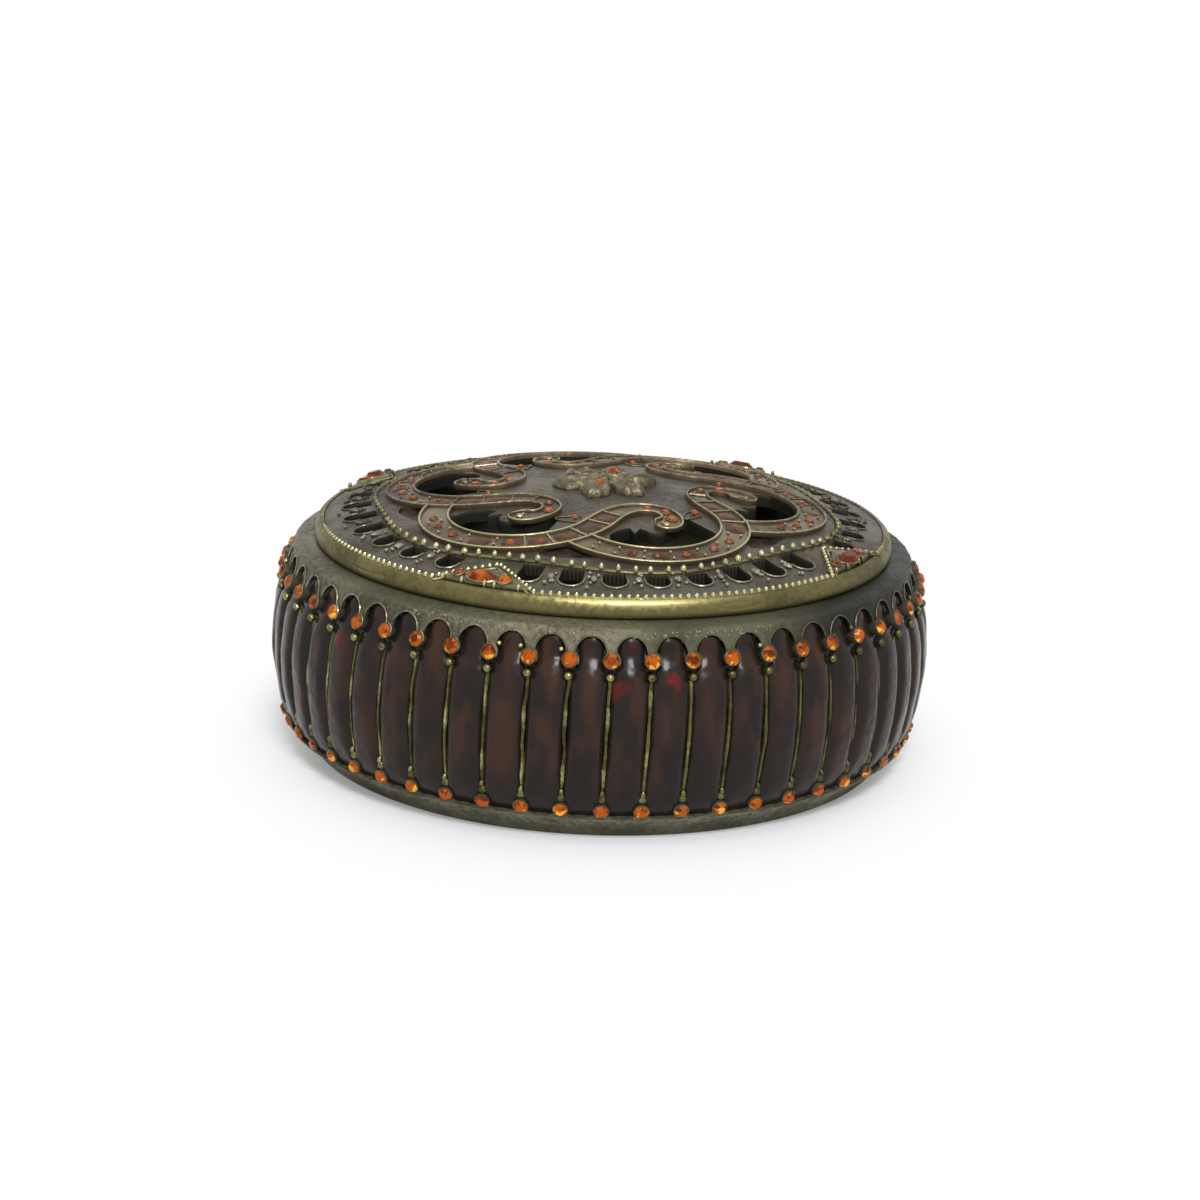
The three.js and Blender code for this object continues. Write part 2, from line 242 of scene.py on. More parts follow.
def old_metal(name, colours, polish, grain=0.03, metallic=0.9):
    """Plated casting with a patina of three colours: dull in the hollows, bright where its rub and
    painted light is high, which is wear and in places painted light, and painted black as shade where
    it is low."""
    body, dirt, wear_and_light = map(colour, colours)
    material, place = new_finish(name, {"Specular IOR Level": 0.15})
    rub_and_painted_light = mark(place)
    broad, small = clouds(place, 0.11), clouds(place, 1.3)
    clean = (0.6 * broad + 0.4 * small).between(0.38, 0.6)
    bright = (rub_and_painted_light + 0.7 * small + 0.3 * broad).between(0.75, 1.35)
    metal = bright.pick(clean.pick(dirt, body), wear_and_light)
    # Where the rub and painted light falls below -0.35, the metal is painted over with black as shade and is
    # no longer metal.
    not_painted_shade = rub_and_painted_light.between(PAINTED_SHADE_RUB / 4, -0.35)
    feed(material, "Base Color", not_painted_shade.pick(colour(PAINTED_SHADE_BLACK), metal))
    feed(material, "Metallic", metallic * not_painted_shade)
    feed(material, "Roughness", polish + 0.22 * (1 - clean) - 0.12 * bright)
    roughen(material, place, 2.6, 2.0, grain)
    return material


def quads(rows, columns, rows_meet=False, columns_meet=False):
    """The four-sided faces of a grid of points, which may close on itself either way."""
    i = np.arange(rows if rows_meet else rows - 1)[:, None]
    j = np.arange(columns if columns_meet else columns - 1)[None, :]
    i_next, j_next = (i + 1) % rows, (j + 1) % columns
    corners = [i * columns + j, i * columns + j_next, i_next * columns + j_next, i_next * columns + j]
    return np.stack(corners, -1).reshape(-1, 4)


def closed(points, faces, rub_and_painted_light=0.0):
    """A closed body as points, face groups and rub and painted light. A body of negative volume is turned
    round.
    """
    points = np.asarray(points, float).reshape(-1, 3)
    volume = 0.0
    for group in faces:
        for k in range(1, group.shape[1] - 1):
            normal = np.cross(points[group[:, k]], points[group[:, k + 1]])
            volume += np.sum(points[group[:, 0]] * normal)
    rub_and_painted_light = np.broadcast_to(np.ravel(rub_and_painted_light), len(points))
    return points, [group[:, ::-1] for group in faces] if volume < 0 else faces, rub_and_painted_light


def endless(rings, rub_and_painted_light=0.0):
    """A body through rings of points that meet again, such as a wire hoop."""
    return closed(rings, [quads(len(rings), rings.shape[1], True, True)], rub_and_painted_light)


def stacked(rings, rub_and_painted_light=0.0):
    """A body through a row of rings, with each end closed by a fan to its middle."""
    rows, columns = rings.shape[:2]
    points = np.vstack([rings.reshape(-1, 3), rings[0].mean(0), rings[-1].mean(0)])
    here = np.arange(columns)
    after = (here + 1) % columns
    last = (rows - 1) * columns
    low = np.stack([np.full(columns, rows * columns), after, here], -1)
    high = np.stack([np.full(columns, rows * columns + 1), last + here, last + after], -1)
    rub_and_painted_light = np.broadcast_to(rub_and_painted_light, (rows, columns)).ravel() if np.ndim(rub_and_painted_light) else np.full(rows * columns, rub_and_painted_light)
    rub_and_painted_light = np.append(rub_and_painted_light, [rub_and_painted_light[0], rub_and_painted_light[-1]])
    return closed(points, [quads(rows, columns, False, True), low, high], rub_and_painted_light)


def rounded(outline, radius, steps=3, loop=False):
    """The outline with each corner cut back by radius and bridged by a quadratic curve."""
    p = np.array(outline, float)
    p = np.vstack([p[-1:], p, p[:1]]) if loop else p
    middle = p[1:-1]

    def cut(span):
        return span * np.minimum(radius / np.linalg.norm(span, axis=1), 0.45)[:, None]

    before, after = middle + cut(p[:-2] - middle), middle + cut(p[2:] - middle)
    t = np.linspace(0, 1, steps + 1)[None, :, None]
    bends = (1 - t) ** 2 * before[:, None] + 2 * t * (1 - t) * middle[:, None] + t**2 * after[:, None]
    bends = bends.reshape(-1, p.shape[1])
    return bends if loop else np.vstack([p[:1], bends, p[-1:]])


def turned(profile, segments):
    """Rings round the Z axis, one for each radius and height of the profile."""
    profile = np.asarray(profile, float)
    a = 2 * np.pi * np.arange(segments) / segments
    r, z = profile[:, :1], profile[:, 1:]
    return np.stack([r * np.cos(a), r * np.sin(a), z + 0 * a], -1)


def make_piece(name, parts, finish, body, nodes=(), sharp=38):
    """One object from closed bodies, with their rub and painted light as an attribute, that rides on a body.
    """
    points, loops, sizes, start = [], [], [], 0
    for part_points, faces, _ in parts:
        for group in faces:
            loops.append((group + start).ravel())
            sizes.append(np.full(len(group), group.shape[1]))
        points.append(part_points)
        start += len(part_points)
    loops, sizes = np.concatenate(loops), np.concatenate(sizes)
    mesh = bpy.data.meshes.new(name)
    mesh.vertices.add(start)
    mesh.vertices.foreach_set("co", (np.concatenate(points) * MM).ravel())
    mesh.loops.add(len(loops))
    mesh.loops.foreach_set("vertex_index", loops)
    mesh.polygons.add(len(sizes))
    mesh.polygons.foreach_set("loop_start", np.cumsum(sizes) - sizes)
    mesh.update(calc_edges=True)
    mesh.polygons.foreach_set("use_smooth", np.ones(len(sizes), bool))
    mesh.set_sharp_from_angle(angle=np.radians(sharp))
    wear_and_light = mesh.attributes.new("rub_and_painted_light", "FLOAT", "POINT")
    wear_and_light.data.foreach_set("value", np.concatenate([rub_and_painted_light for _, _, rub_and_painted_light in parts]).astype(np.float32))
    mesh.materials.append(finish)
    piece = bpy.data.objects.new(name, mesh)
    scene.collection.objects.link(piece)
    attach(piece, body)
    if nodes:
        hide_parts(*nodes)
    return piece


bronze = old_metal("antique_bronze", BRONZE, 0.4, metallic=0.5)
foot_outline = rounded(FOOT_OUTLINE, 0.35)
foot_rub = np.interp(foot_outline[:, :1], [44.8, 46.5, 48.6], [0.15, 0.35, 0.8]) + np.zeros(FOOT_SEGMENTS)
foot = stacked(turned(foot_outline, FOOT_SEGMENTS), foot_rub)
make_piece("foot", [foot], bronze, "box", ["base"])


# Wall: 54 upright lobes, raised in the casting and covered with dark red-brown enamel. Each has a
# narrow foot, swells to its full width and ends in a finger under its arch.
RIBS = 54
PITCH = 2 * np.pi / RIBS
GROOVES = np.radians(-87.96) + PITCH * np.arange(RIBS)
LEAN = np.radians(-0.74)  # how far round the lower row of stones stands from the upper one
UPPER_ROW_Z = 27.45
LOWER_ROW_Z = 5.25
GROOVE_R = 48.55
GROOVE_TOP_R = 47.0
WALL_IN = 46.3
WALL_LOW = 4.42
WALL_TOP = 30.3
LOBE_CREST = [
    (4.42, 48.3), (5.2, 48.7), (6.4, 49.3), (8.0, 49.85), (10.0, 50.3), (13.0, 50.75), (16.0, 50.95),
    (19.0, 50.8), (22.0, 50.5), (23.5, 50.2), (24.5, 49.92), (25.4, 49.55), (26.2, 49.15), (26.9, 48.74),
    (27.6, 48.34), (28.5, 48.02), (29.5, 47.8), (30.3, 47.4),
]
LOBE_HALF = [
    (4.42, 2.6), (6.5, 2.75), (9.0, 2.82), (23.0, 2.82), (24.2, 2.65), (25.2, 2.3), (26.2, 1.95),
    (27.2, 1.88), (28.5, 1.85), (29.5, 1.75), (30.3, 1.2),
]
ENAMEL_PAINTED_SHADE = (33, 31, 24)
ENAMEL_DARK = (33, 25, 22)
ENAMEL_BROWN = (60, 38, 26)
ENAMEL_RED = (92, 22, 14)


def even_curve(stops, at):
    """Values at the given places on a Catmull-Rom curve through the stops."""
    p = np.array(stops, float)
    p = np.vstack([2 * p[0] - p[1], p, 2 * p[-1] - p[-2]])
    t = np.linspace(0, 1, 12, endpoint=False)[None, :, None]
    a, b, c, d = (p[k : len(p) - 3 + k, None] for k in range(4))
    bend = b + 0.5 * t * (c - a + t * (2 * a - 5 * b + 4 * c - d + t * (3 * (b - c) + d - a)))
    bend = np.vstack([bend.reshape(-1, 2), p[-2]])
    return np.interp(at, bend[:, 0], bend[:, 1])


def lean(z):
    """The angle by which the grooves have turned at height z: even from the upper row down."""
    return LEAN * (UPPER_ROW_Z - z) / (UPPER_ROW_Z - LOWER_ROW_Z)


def by_wall(angle, along, r, z):
    """Points by the wall: along it from the groove at that angle, at radius r and height z."""
    along, r, z = np.broadcast_arrays(along, r, z)
    c, s = np.cos(angle + lean(z)), np.sin(angle + lean(z))
    return np.stack([r * c - along * s, r * s + along * c, z], -1)


# A lobe in section stands out from its groove by the root of one less a power of the place across,
# which makes it square below and round at the top. Each lobe sways a little in its own way.
rng = np.random.default_rng(5)
wall_z = [np.linspace(WALL_LOW, 8.5, 14), np.linspace(9, 25, 22), np.linspace(25.4, WALL_TOP, 18)]
wall_z = np.concatenate(wall_z)
across = np.concatenate([[-1.0], -np.cos(np.pi * np.arange(13) / 12)])[:, None]
squareness = np.interp(wall_z, [21, 25.5], [3.8, 2.0])
crest = even_curve(LOBE_CREST, wall_z)
groove_r = np.minimum(np.interp(wall_z, [26, 29], [GROOVE_R, GROOVE_TOP_R]), crest - 0.4)
half = np.minimum(even_curve(LOBE_HALF, wall_z), PITCH / 2 * groove_r - 0.02)
lobe_columns = []
for groove in GROOVES:
    sway = rng.normal(0, 1, 5)
    wave = 0.05 * sway[0] * np.sin(wall_z * 0.45 + 6 * sway[1]) + 0.03 * np.sin(wall_z * 1.1 + 6 * sway[2])
    tilted = 0.05 * sway[4] * across * np.sin(wall_z * 0.3 + 6 * sway[2])
    dome = (1 - np.abs(across) ** squareness) ** 0.5
    lobe_r = groove_r + (crest + wave + tilted - groove_r) * dome
    lobe_r[0] = groove_r
    along = across * half * (1 + 0.008 * sway[3])
    along[0] = -PITCH / 2 * groove_r
    lobe_columns.append(by_wall(groove + PITCH / 2, along, lobe_r, wall_z))
columns = np.concatenate(lobe_columns)
directions = columns[:, 0, :2] / np.linalg.norm(columns[:, 0, :2], axis=1, keepdims=True) * WALL_IN
inner = [np.column_stack([directions, np.full(len(directions), z)]) for z in (WALL_TOP, WALL_LOW)]
columns = np.concatenate([columns, np.stack(inner, 1)], 1)
crown = np.concatenate([np.repeat((1 - across**2) ** 0.7, len(wall_z), 1), np.zeros((len(across), 2))], 1)

enamel, place = new_finish("red_brown_enamel", {"Specular IOR Level": 0.19, "Roughness": 0.23})
crown_here = mark(place)
tide = clouds(place, 0.22, 2.0, (1, 1, 0.4))
patch = clouds(place, 0.13, 1.0, (1.5, 1.5, 1))
# The flanks of each lobe beside the grooves are painted the neutral dark of the shade there; the brown
# clouds and red stains lie only on the crowns.
flank_painted_shade = crown_here.between(0.1, 0.8).pick(colour(ENAMEL_PAINTED_SHADE), colour(ENAMEL_DARK))
height = place.node("SeparateXYZ", {0: place}, "Z").between(4, 13)
deep = (tide.between(0.42, 0.66) * crown_here * height).pick(flank_painted_shade, colour(ENAMEL_BROWN))
feed(enamel, "Base Color", (patch.between(0.7, 0.8) * crown_here).pick(deep, colour(ENAMEL_RED)))
roughen(enamel, place, 0.45, 1.0, 0.2)
wall = [endless(columns, np.tile(crown, (RIBS, 1)))]
make_piece("enamelled_lobes", wall, enamel, "box", ["lobed_wall"], 60)
lining = [(WALL_IN, 4.3), (WALL_IN, 29.3), (WALL_IN - 0.15, 29.3), (WALL_IN - 0.15, 4.3)]
make_piece("wall_lining", [endless(turned(lining, 108), 0.9)], bronze, "box")


# Shoulder: the bronze slope from the wall in to the mouth. Its lower edge is cut in round arches,
# and the tongues between the arches come down over the grooves to carry the stones.
MOUTH_R = 41.9
RIM_Z = 31.8
ARCH_HALF = 2.3
ARCH_Z = 27.95
ARCH_RISE = 2.6
ARCH_FOOT = 2.5
TONGUE_Z = 26.3
SKIN_TOP = 31.0
SKIN_TOP_R = 47.55
SKIN_SLOPE = 0.3  # how far the skin stands out for each millimetre down


def skin_r(z):
    """Radius of the shoulder's outer skin below its edge."""
    return SKIN_TOP_R + SKIN_SLOPE * (SKIN_TOP - z)


swing = np.radians(np.linspace(-90, 90, 19))
edge_along = np.concatenate([[-PITCH / 2 * GROOVE_R, -ARCH_FOOT], ARCH_HALF * np.sin(swing), [ARCH_FOOT]])
edge_z = np.concatenate([[TONGUE_Z] * 2, ARCH_Z + ARCH_RISE * np.cos(swing), [TONGUE_Z]])
edge_z[[2, -2]] = TONGUE_Z + 0.1
slope = rounded([(41.9, 30.2), (MOUTH_R, RIM_Z), (44.6, RIM_Z), (46.9, 31.4), (SKIN_TOP_R, SKIN_TOP)], 0.3)
down = np.linspace(0.0, 1.0, 5)[None, 1:]
front_z = SKIN_TOP + (edge_z[:, None] - SKIN_TOP) * down
under_r, under_z = np.array([47.3, 46.3]), np.array([29.45, 29.35])
# One closed strip over each lobe: out over the slope, down to the arched edge and back under it.
per_edge = np.zeros((len(edge_z), 1))  # spreads a row over the places along the edge
lip_r = skin_r(edge_z)[:, None] - 0.6
lip_z = edge_z[:, None] + 0.05
r_rows = np.concatenate([slope[:, 0] + per_edge, skin_r(front_z), lip_r, under_r + per_edge], 1)
z_rows = np.concatenate([slope[:, 1] + per_edge, front_z, lip_z, under_z + per_edge], 1)
along_rows = edge_along[:, None] * r_rows / GROOVE_R
skin = np.concatenate([by_wall(g + PITCH / 2, along_rows, r_rows, z_rows) for g in GROOVES])
on_ridge = np.interp(r_rows, [44.6, 46.6, 47.4], [0.3, 0.25, 0.3])
# Painted light on the skin: darker towards the right as shade, and lighter in the middle of the front as
# light.
painted_shade_right = np.interp(skin[..., 0], [4, 34], [0, 1.05])
painted_light_front = 0.22 * np.exp(-(((skin[..., 0] + 6) / 14) ** 2)) * (skin[..., 1] < 0)
skin_wear_and_light = np.tile(on_ridge, (RIBS, 1)) + painted_light_front - painted_shade_right
make_piece("shoulder", [endless(skin, skin_wear_and_light)], bronze, "box", ["shoulder_ring"])


# Wirework of the wall: a thin wire soldered round each arch and beside each stone, with specks of
# solder over those at the front that are painted pale as glints, a wire down each groove with a bead
# at either end, and a stray bead at some arch feet. All in brass, painted brighter on the left as
# light and darker on the right as shade.
WIRE_BRASS = [(108, 102, 62), (72, 68, 44), (180, 174, 118)]
SOLDER = [(112, 108, 86), (84, 80, 64), (176, 170, 146)]
UPPER_BEAD_Z = 25.15
LOWER_BEAD_Z = 7.1
CURL_R = 1.24
CURL_OUT = 49.45
CURL_SLOPE = 0.36
WIRE_SINK = 0.95  # how far the wire of a groove lies below the crests
GLINT_SPECKS = 190


def unit(v):
    """The same directions with length 1."""
    return v / np.linalg.norm(v, axis=-1, keepdims=True)


def wire(path, radius, up, sides=8, rub_and_painted_light=0.4, hoop=False):
    """A round wire along a path: rings of points square to it, level with the up direction."""
    path = np.asarray(path, float)
    ahead = np.roll(path, -1, 0) - np.roll(path, 1, 0) if hoop else np.gradient(path, axis=0)
    side = unit(np.cross(unit(ahead), up))
    above = np.cross(side, unit(ahead))
    turn = 2 * np.pi * np.arange(sides) / sides
    radius = np.broadcast_to(radius, len(path))[:, None, None]
    circle = np.cos(turn)[None, :, None] * side[:, None] + np.sin(turn)[None, :, None] * above[:, None]
    rings = path[:, None] + radius * circle
    return endless(rings, rub_and_painted_light) if hoop else stacked(rings, rub_and_painted_light)


def bead(x, y, z, sides=8, rows=5, rub_and_painted_light=0.9):
    """A small ball with its half sizes along the three axes, centred on the origin."""
    rise = np.pi * (np.arange(rows) + 0.5) / rows - np.pi / 2
    return stacked(turned(np.column_stack([np.cos(rise), np.sin(rise)]), sides) * (x, y, z), rub_and_painted_light)


def copies(points, faces, rub_and_painted_light):
    """One part from many placements of the same points."""
    first = (np.arange(len(points)) * points.shape[1])[:, None, None]
    groups = [(group[None] + first).reshape(-1, group.shape[1]) for group in faces]
    return points.reshape(-1, 3), groups, np.tile(rub_and_painted_light, len(points))


def around(part, angles):
    """The part turned about the box's axis to each of the angles."""
    points, faces, rub_and_painted_light = part
    c, s = np.cos(angles)[:, None], np.sin(angles)[:, None]
    x, y, z = points.T
    return copies(np.stack([c * x - s * y, s * x + c * y, z + 0 * c], -1), faces, rub_and_painted_light)


def posed(part, spots, outs, ups):
    """The part at each spot, its z axis along outs and its y axis along ups."""
    points, faces, rub_and_painted_light = part
    spots, outs, ups = (np.atleast_2d(np.asarray(v, float)) for v in (spots, outs, ups))
    spots, outs, ups = np.broadcast_arrays(spots, outs, ups)
    sides = np.cross(ups, outs)
    x, y, z = (points[None, :, k : k + 1] for k in range(3))
    return copies(spots[:, None] + x * sides[:, None] + y * ups[:, None] + z * outs[:, None], faces, rub_and_painted_light)


brass_wire = old_metal("brass_wire", WIRE_BRASS, 0.3)
solder_wire = old_metal("solder_wire", SOLDER, 0.34)
OUT = (1, 0, 0)
BACK = (0, 1, 0)
UP = (0, 0, 1)
leg = np.array([26.9, 27.4])
arch_along = ARCH_HALF * np.concatenate([[-1, -1], np.sin(swing), [1, 1]])
arch_z = np.concatenate([leg, ARCH_Z + ARCH_RISE * np.cos(swing), leg[::-1]])
arch_path = by_wall(0, arch_along, skin_r(arch_z) + 0.08, arch_z)
curl = np.radians(np.linspace(75, -60, 16))
curl_z = UPPER_ROW_Z + CURL_R * np.sin(curl)
curl_r = CURL_OUT - CURL_SLOPE * (curl_z - UPPER_ROW_Z)
curl_path = by_wall(0, CURL_R * np.cos(curl), curl_r, curl_z)
wall_parts, solder_parts = [], []
for groove in GROOVES:
    sway = rng.normal(0, 1, 7)
    z = np.linspace(LOWER_BEAD_Z, UPPER_BEAD_Z, 22)
    drift = 0.06 * sway[0] * np.sin(0.5 * z + 3 * sway[1]) + 0.03 * sway[2] * np.sin(1.3 * z + 3 * sway[3])
    thick = 0.3 + 0.04 * np.sin(0.9 * z + 5 * sway[4]) + 0.03 * np.sin(2.9 * z + 5 * sway[5])
    stand = even_curve(LOBE_CREST, z) - WIRE_SINK
    rub_and_painted_light = (0.25 + 0.35 * np.sin(0.7 * z + 9 * sway[4]))[:, None] + np.zeros(8)
    wall_parts.append(wire(by_wall(groove, drift, stand, z), thick, OUT, rub_and_painted_light=rub_and_painted_light))
    # The arch wires and curls are painted brighter towards the left as light.
    left_painted_light = np.interp(np.cos(groove), [-0.6, 0.25], [0.5, 0.1])
    gauge = np.interp(np.cos(groove), [-0.8, -0.2, 0.2], [0.11, 0.15, 0.09])
    solder_parts.append(around(wire(arch_path, gauge, OUT, 6, left_painted_light), [groove + PITCH / 2]))
    curl_wire = wire(curl_path[: 12 + int(sway[6])], 0.8 * gauge, OUT, 6, left_painted_light)
    solder_parts.append(around(curl_wire, [groove]))
    if abs(sway[0]) > 1.1:
        stray = posed(bead(0.36, 0.36, 0.34), by_wall(0, np.sign(sway[0]) * 1.3, 48.9, 28.75), OUT, UP)
        wall_parts.append(around(stray, [groove]))
top_bead = posed(bead(0.66, 0.68, 0.6, rub_and_painted_light=0.45), (49.7, 0, UPPER_BEAD_Z), OUT, UP)
low_bead = posed(bead(0.68, 0.74, 0.55, rub_and_painted_light=0.35), (49.0, 0, LOWER_BEAD_Z), OUT, UP)
tip_bead = posed(bead(0.42, 0.6, 0.4, rub_and_painted_light=0.45), (49.35, 0, LOWER_BEAD_Z + 0.85), OUT, UP)
wall_parts.append(around(top_bead, GROOVES + lean(UPPER_BEAD_Z)))
wall_parts += [around(part, GROOVES + lean(LOWER_BEAD_Z)) for part in (low_bead, tip_bead)]
# Painted shade: the groove wires and beads are darker towards the right.
wall_parts = [(p, faces, rub_and_painted_light - np.interp(p[:, 0], [5, 40], [0, 0.8])) for p, faces, rub_and_painted_light in wall_parts]
make_piece("wall_wirework", wall_parts, brass_wire, "box", ["wire_arcade"])
# Specks of solder along the ridge, given the palest colour to stand for glints.
for angle, z, size in rng.uniform((-124, 30.3, 0.06), (-60, 31.1, 0.16), (GLINT_SPECKS, 3)):
    speck = bead(size, size * rng.uniform(0.8, 2.5), size, 6, 4, 1.2)
    spot = by_wall(0, 0, skin_r(z) - 0.02, z)
    solder_parts.append(around(posed(speck, spot, UP, OUT), np.radians([angle])))
make_piece("arch_wires", solder_parts, solder_wire, "box")


# Foot tongues: the upper edge of the foot rises in a low cusp at each groove, round the stone that
# it carries, and so covers the feet of the lobes. Same bronze casting as the foot.
TONGUE_LOW = 4.25
CUSP_RISE = 0.95

# The edge rises with the cube of the distance from a lobe's middle, and so comes to a cusp.
tongue_s = np.linspace(-1, 1, 17)[:-1, None]
tongue_top = TONGUE_LOW + CUSP_RISE * np.abs(tongue_s) ** 3
tongue_r = np.array([48.0, 48.72, 48.9, 48.9, 48.7, 48.0]) + 0 * tongue_top
tongue_z = np.concatenate([np.array([3.7, 3.9, 4.15]) + 0 * tongue_top, tongue_top + [-0.06, 0.04, 0.02]], 1)
tongue_along = tongue_s * PITCH / 2 * tongue_r
tongues = np.concatenate([by_wall(g + PITCH / 2, tongue_along, tongue_r, tongue_z) for g in GROOVES])
make_piece("foot_tongues", [endless(tongues, 0.3)], bronze, "box")


# Stone rows: 54 amber-coloured chatons at the arches and 54 on the foot's edge, each in a cup
# soldered over a groove. The upper row faces up a little, and the lower one down.
STONE_R = 1.08
STONE_SEAT = 0.12  # how far the girdle stands over the middle of its cup
STONE_TILT = np.radians(20)
AMBER_DARK = (92, 40, 12)
AMBER = (184, 88, 16)
AMBER_PAINTED_GLINT = (255, 184, 62)
ROWS = {"upper": (49.35, UPPER_ROW_Z, STONE_TILT), "lower": (48.95, LOWER_ROW_Z, -STONE_TILT)}


def gem(outline, height, table=0.6):
    """A cut stone: a girdle outline, a table above it, two rows of crown facets and a point."""
    girdle = np.column_stack([outline, np.zeros(len(outline))])
    top = (girdle + np.roll(girdle, -1, 0)) / 2 * table + (0, 0, height)
    n = len(girdle)
    here, after = np.arange(n), (np.arange(n) + 1) % n
    facets = [
        np.stack([here, after, n + here], -1), np.stack([after, n + after, n + here], -1),
        np.stack([after, here, np.full(n, 2 * n)], -1), (n + here)[None, :],
    ]
    return closed(np.vstack([girdle, top, [(0, 0, -height)]]), facets)


def circle(radius, sides):
    """An even polygon in plan."""
    a = 2 * np.pi * np.arange(sides) / sides
    return radius * np.column_stack([np.cos(a), np.sin(a)])


def turn_plan(plan, angle):
    """Plan points turned to the left about the origin."""
    c, s = np.cos(angle), np.sin(angle)
    return plan @ np.array([[c, s], [-s, c]])


def make_stones(name, parts, body, nodes=(), painted_dimming=0.0):
    """Cut stones with a painted glint on each facet, random and highest low down in a stone, standing for
    reflections inside it; painted_dimming takes some away.
    """
    piece = make_piece(name, parts, amber, body, nodes, 8)
    painted_glint = piece.data.attributes.new("painted_glint", "FLOAT", "FACE")
    normals = np.zeros(3 * len(piece.data.polygons))
    piece.data.polygons.foreach_get("normal", normals)
    chance = np.random.default_rng(len(name)).random(len(normals) // 3)
    glint_share = 0.65 * chance + 0.4 * (normals[2::3] < normals[2::3].mean()) - painted_dimming
    painted_glint.data.foreach_set("value", glint_share.astype(np.float32))
    return piece


# The facets are painted from dark to amber to pale yellow by their painted glint, as reflections inside the
# stones.
amber, place = new_finish("amber_glass", {"Roughness": 0.16, "Specular IOR Level": 0.12})
painted_glint = mark(place, "painted_glint") + 1.6 * (clouds(place, 0.4, 1.0) - 0.5)
smoulder = painted_glint.between(0.0, 0.55).pick(colour(AMBER_DARK), colour(AMBER))
feed(amber, "Base Color", painted_glint.between(0.82, 0.92).pick(smoulder, colour(AMBER_PAINTED_GLINT)))

cup_outline = [
    (STONE_R - 0.06, 0.1), (STONE_R, 0.18), (STONE_R + 0.09, 0.14), (STONE_R + 0.1, -0.5), (0.85, -1.5),
    (0.7, -1.5),
]
cup = endless(turned(cup_outline, 14), 0.2)
for row, (r, z, tilt) in ROWS.items():
    out, up = (np.cos(tilt), 0, np.sin(tilt)), (-np.sin(tilt), 0, np.cos(tilt))
    seat = ((r, 0, z), out, up)
    row_angles = GROOVES + lean(z)
    make_piece(f"{row}_cups", [around(posed(cup, *seat), row_angles)], bronze, "box")
    row_stones = []
    for row_angle in row_angles:
        outline = circle(STONE_R, 8) * rng.uniform(0.96, 1.1, (8, 1))
        points, faces, rub_and_painted_light = gem(turn_plan(outline, rng.uniform(0, 1)), rng.uniform(0.4, 0.6))
        raised = (points + (0, 0, STONE_SEAT), faces, rub_and_painted_light)
        row_stones.append(around(posed(raised, *seat), [row_angle]))
    make_stones(f"{row}_stones", row_stones, "box")


# Lining: a thin pad glued to the floor of the box, flocked black, with a soft rounded edge. It
# shows through the openings of the lid.
PAD_R = 41.3
PAD_LOW = 3.52
PAD_TOP = 5.0
VELVET_DARK = (50, 48, 47)
VELVET_LIGHT = (68, 65, 63)

pad_outline = [
    (20, PAD_LOW), (PAD_R, PAD_LOW), (PAD_R, 4.5), (40.6, 4.95), (39, PAD_TOP), (30, 4.97), (20, 4.94),
    (8, 4.93),
]
dull = {"Roughness": 0.95, "Specular IOR Level": 0.1, "Sheen Weight": 0.4}
velvet, place = new_finish("black_velvet", dull)
nap = clouds(place, 0.25, 4.0)
feed(velvet, "Base Color", nap.between(0.3, 0.7).pick(colour(VELVET_DARK), colour(VELVET_LIGHT)))
roughen(velvet, place, 5.0, 2.0, 0.1)
pad = stacked(turned(rounded(pad_outline, 0.3), 144))
pad = make_piece("floor_lining", [pad], velvet, "box", ["floor_pad"])


# Lid plate: a cast dome, sawn through in six commas and a border of small arched openings, with
# a sunk triangle between each scroll and the bead row. Dark patina.
LID_R = 44.45
PLATE_R = 43.0
PLATE_EDGE_Z = 34.3
DOME_RISE = 6.0
PLATE_T = 1.8
ARMS = 6
TURNS = np.radians(60) * np.arange(ARMS)
CLUSTERS = [-113, -29.5, 58, 154]  # degrees, places of the stone clusters
CLUSTER_HALF = 10.5  # degrees
ARCHES_PER_PANEL = 8
FIRST_ARCH, LAST_ARCH = 7.4, 11.8  # degrees from a cluster's middle to its nearest openings
PATINA = [(96, 90, 76), (75, 70, 60), (150, 145, 128)]
OPENING_R = 38.6  # where the round end of a border opening is centred
OPENING_HALF = 1.72
MESH_STEP = 1.3


def dome_z(r):
    """Height of the dome: it falls with the square of the radius."""
    return PLATE_EDGE_Z + DOME_RISE * (1 - (r / LID_R) ** 2)


def dome_normal(x, y):
    """Direction square to the dome, from its slope along x and y."""
    fall = 2 * DOME_RISE / LID_R**2
    return unit(np.stack([fall * x, fall * y, np.ones_like(x)], -1))


def on_dome(x, y, up):
    """A point over the plan place (x, y), that far off the dome along its normal."""
    x, y, up = np.broadcast_arrays(np.asarray(x, float), y, up)
    return np.stack([x, y, dome_z(np.hypot(x, y))], -1) + up[..., None] * dome_normal(x, y)


def round_dome(r, angle, up):
    """A point by its radius and angle in plan, that far off the dome along its normal."""
    return on_dome(r * np.cos(angle), r * np.sin(angle), up)


def seat(spot, way):
    """A spot on the dome, the normal there and the part of a direction that is square to it."""
    normal = dome_normal(spot[0:1], spot[1:2])[0]
    return spot, normal, unit(way - normal * (way @ normal))


def plan_arc(x, y, radius, start, end, steps):
    """Plan points on an arc round (x, y), from one angle to the other in degrees."""
    a = np.radians(np.linspace(start, end, steps))
    return np.column_stack([x + radius * np.cos(a), y + radius * np.sin(a)])


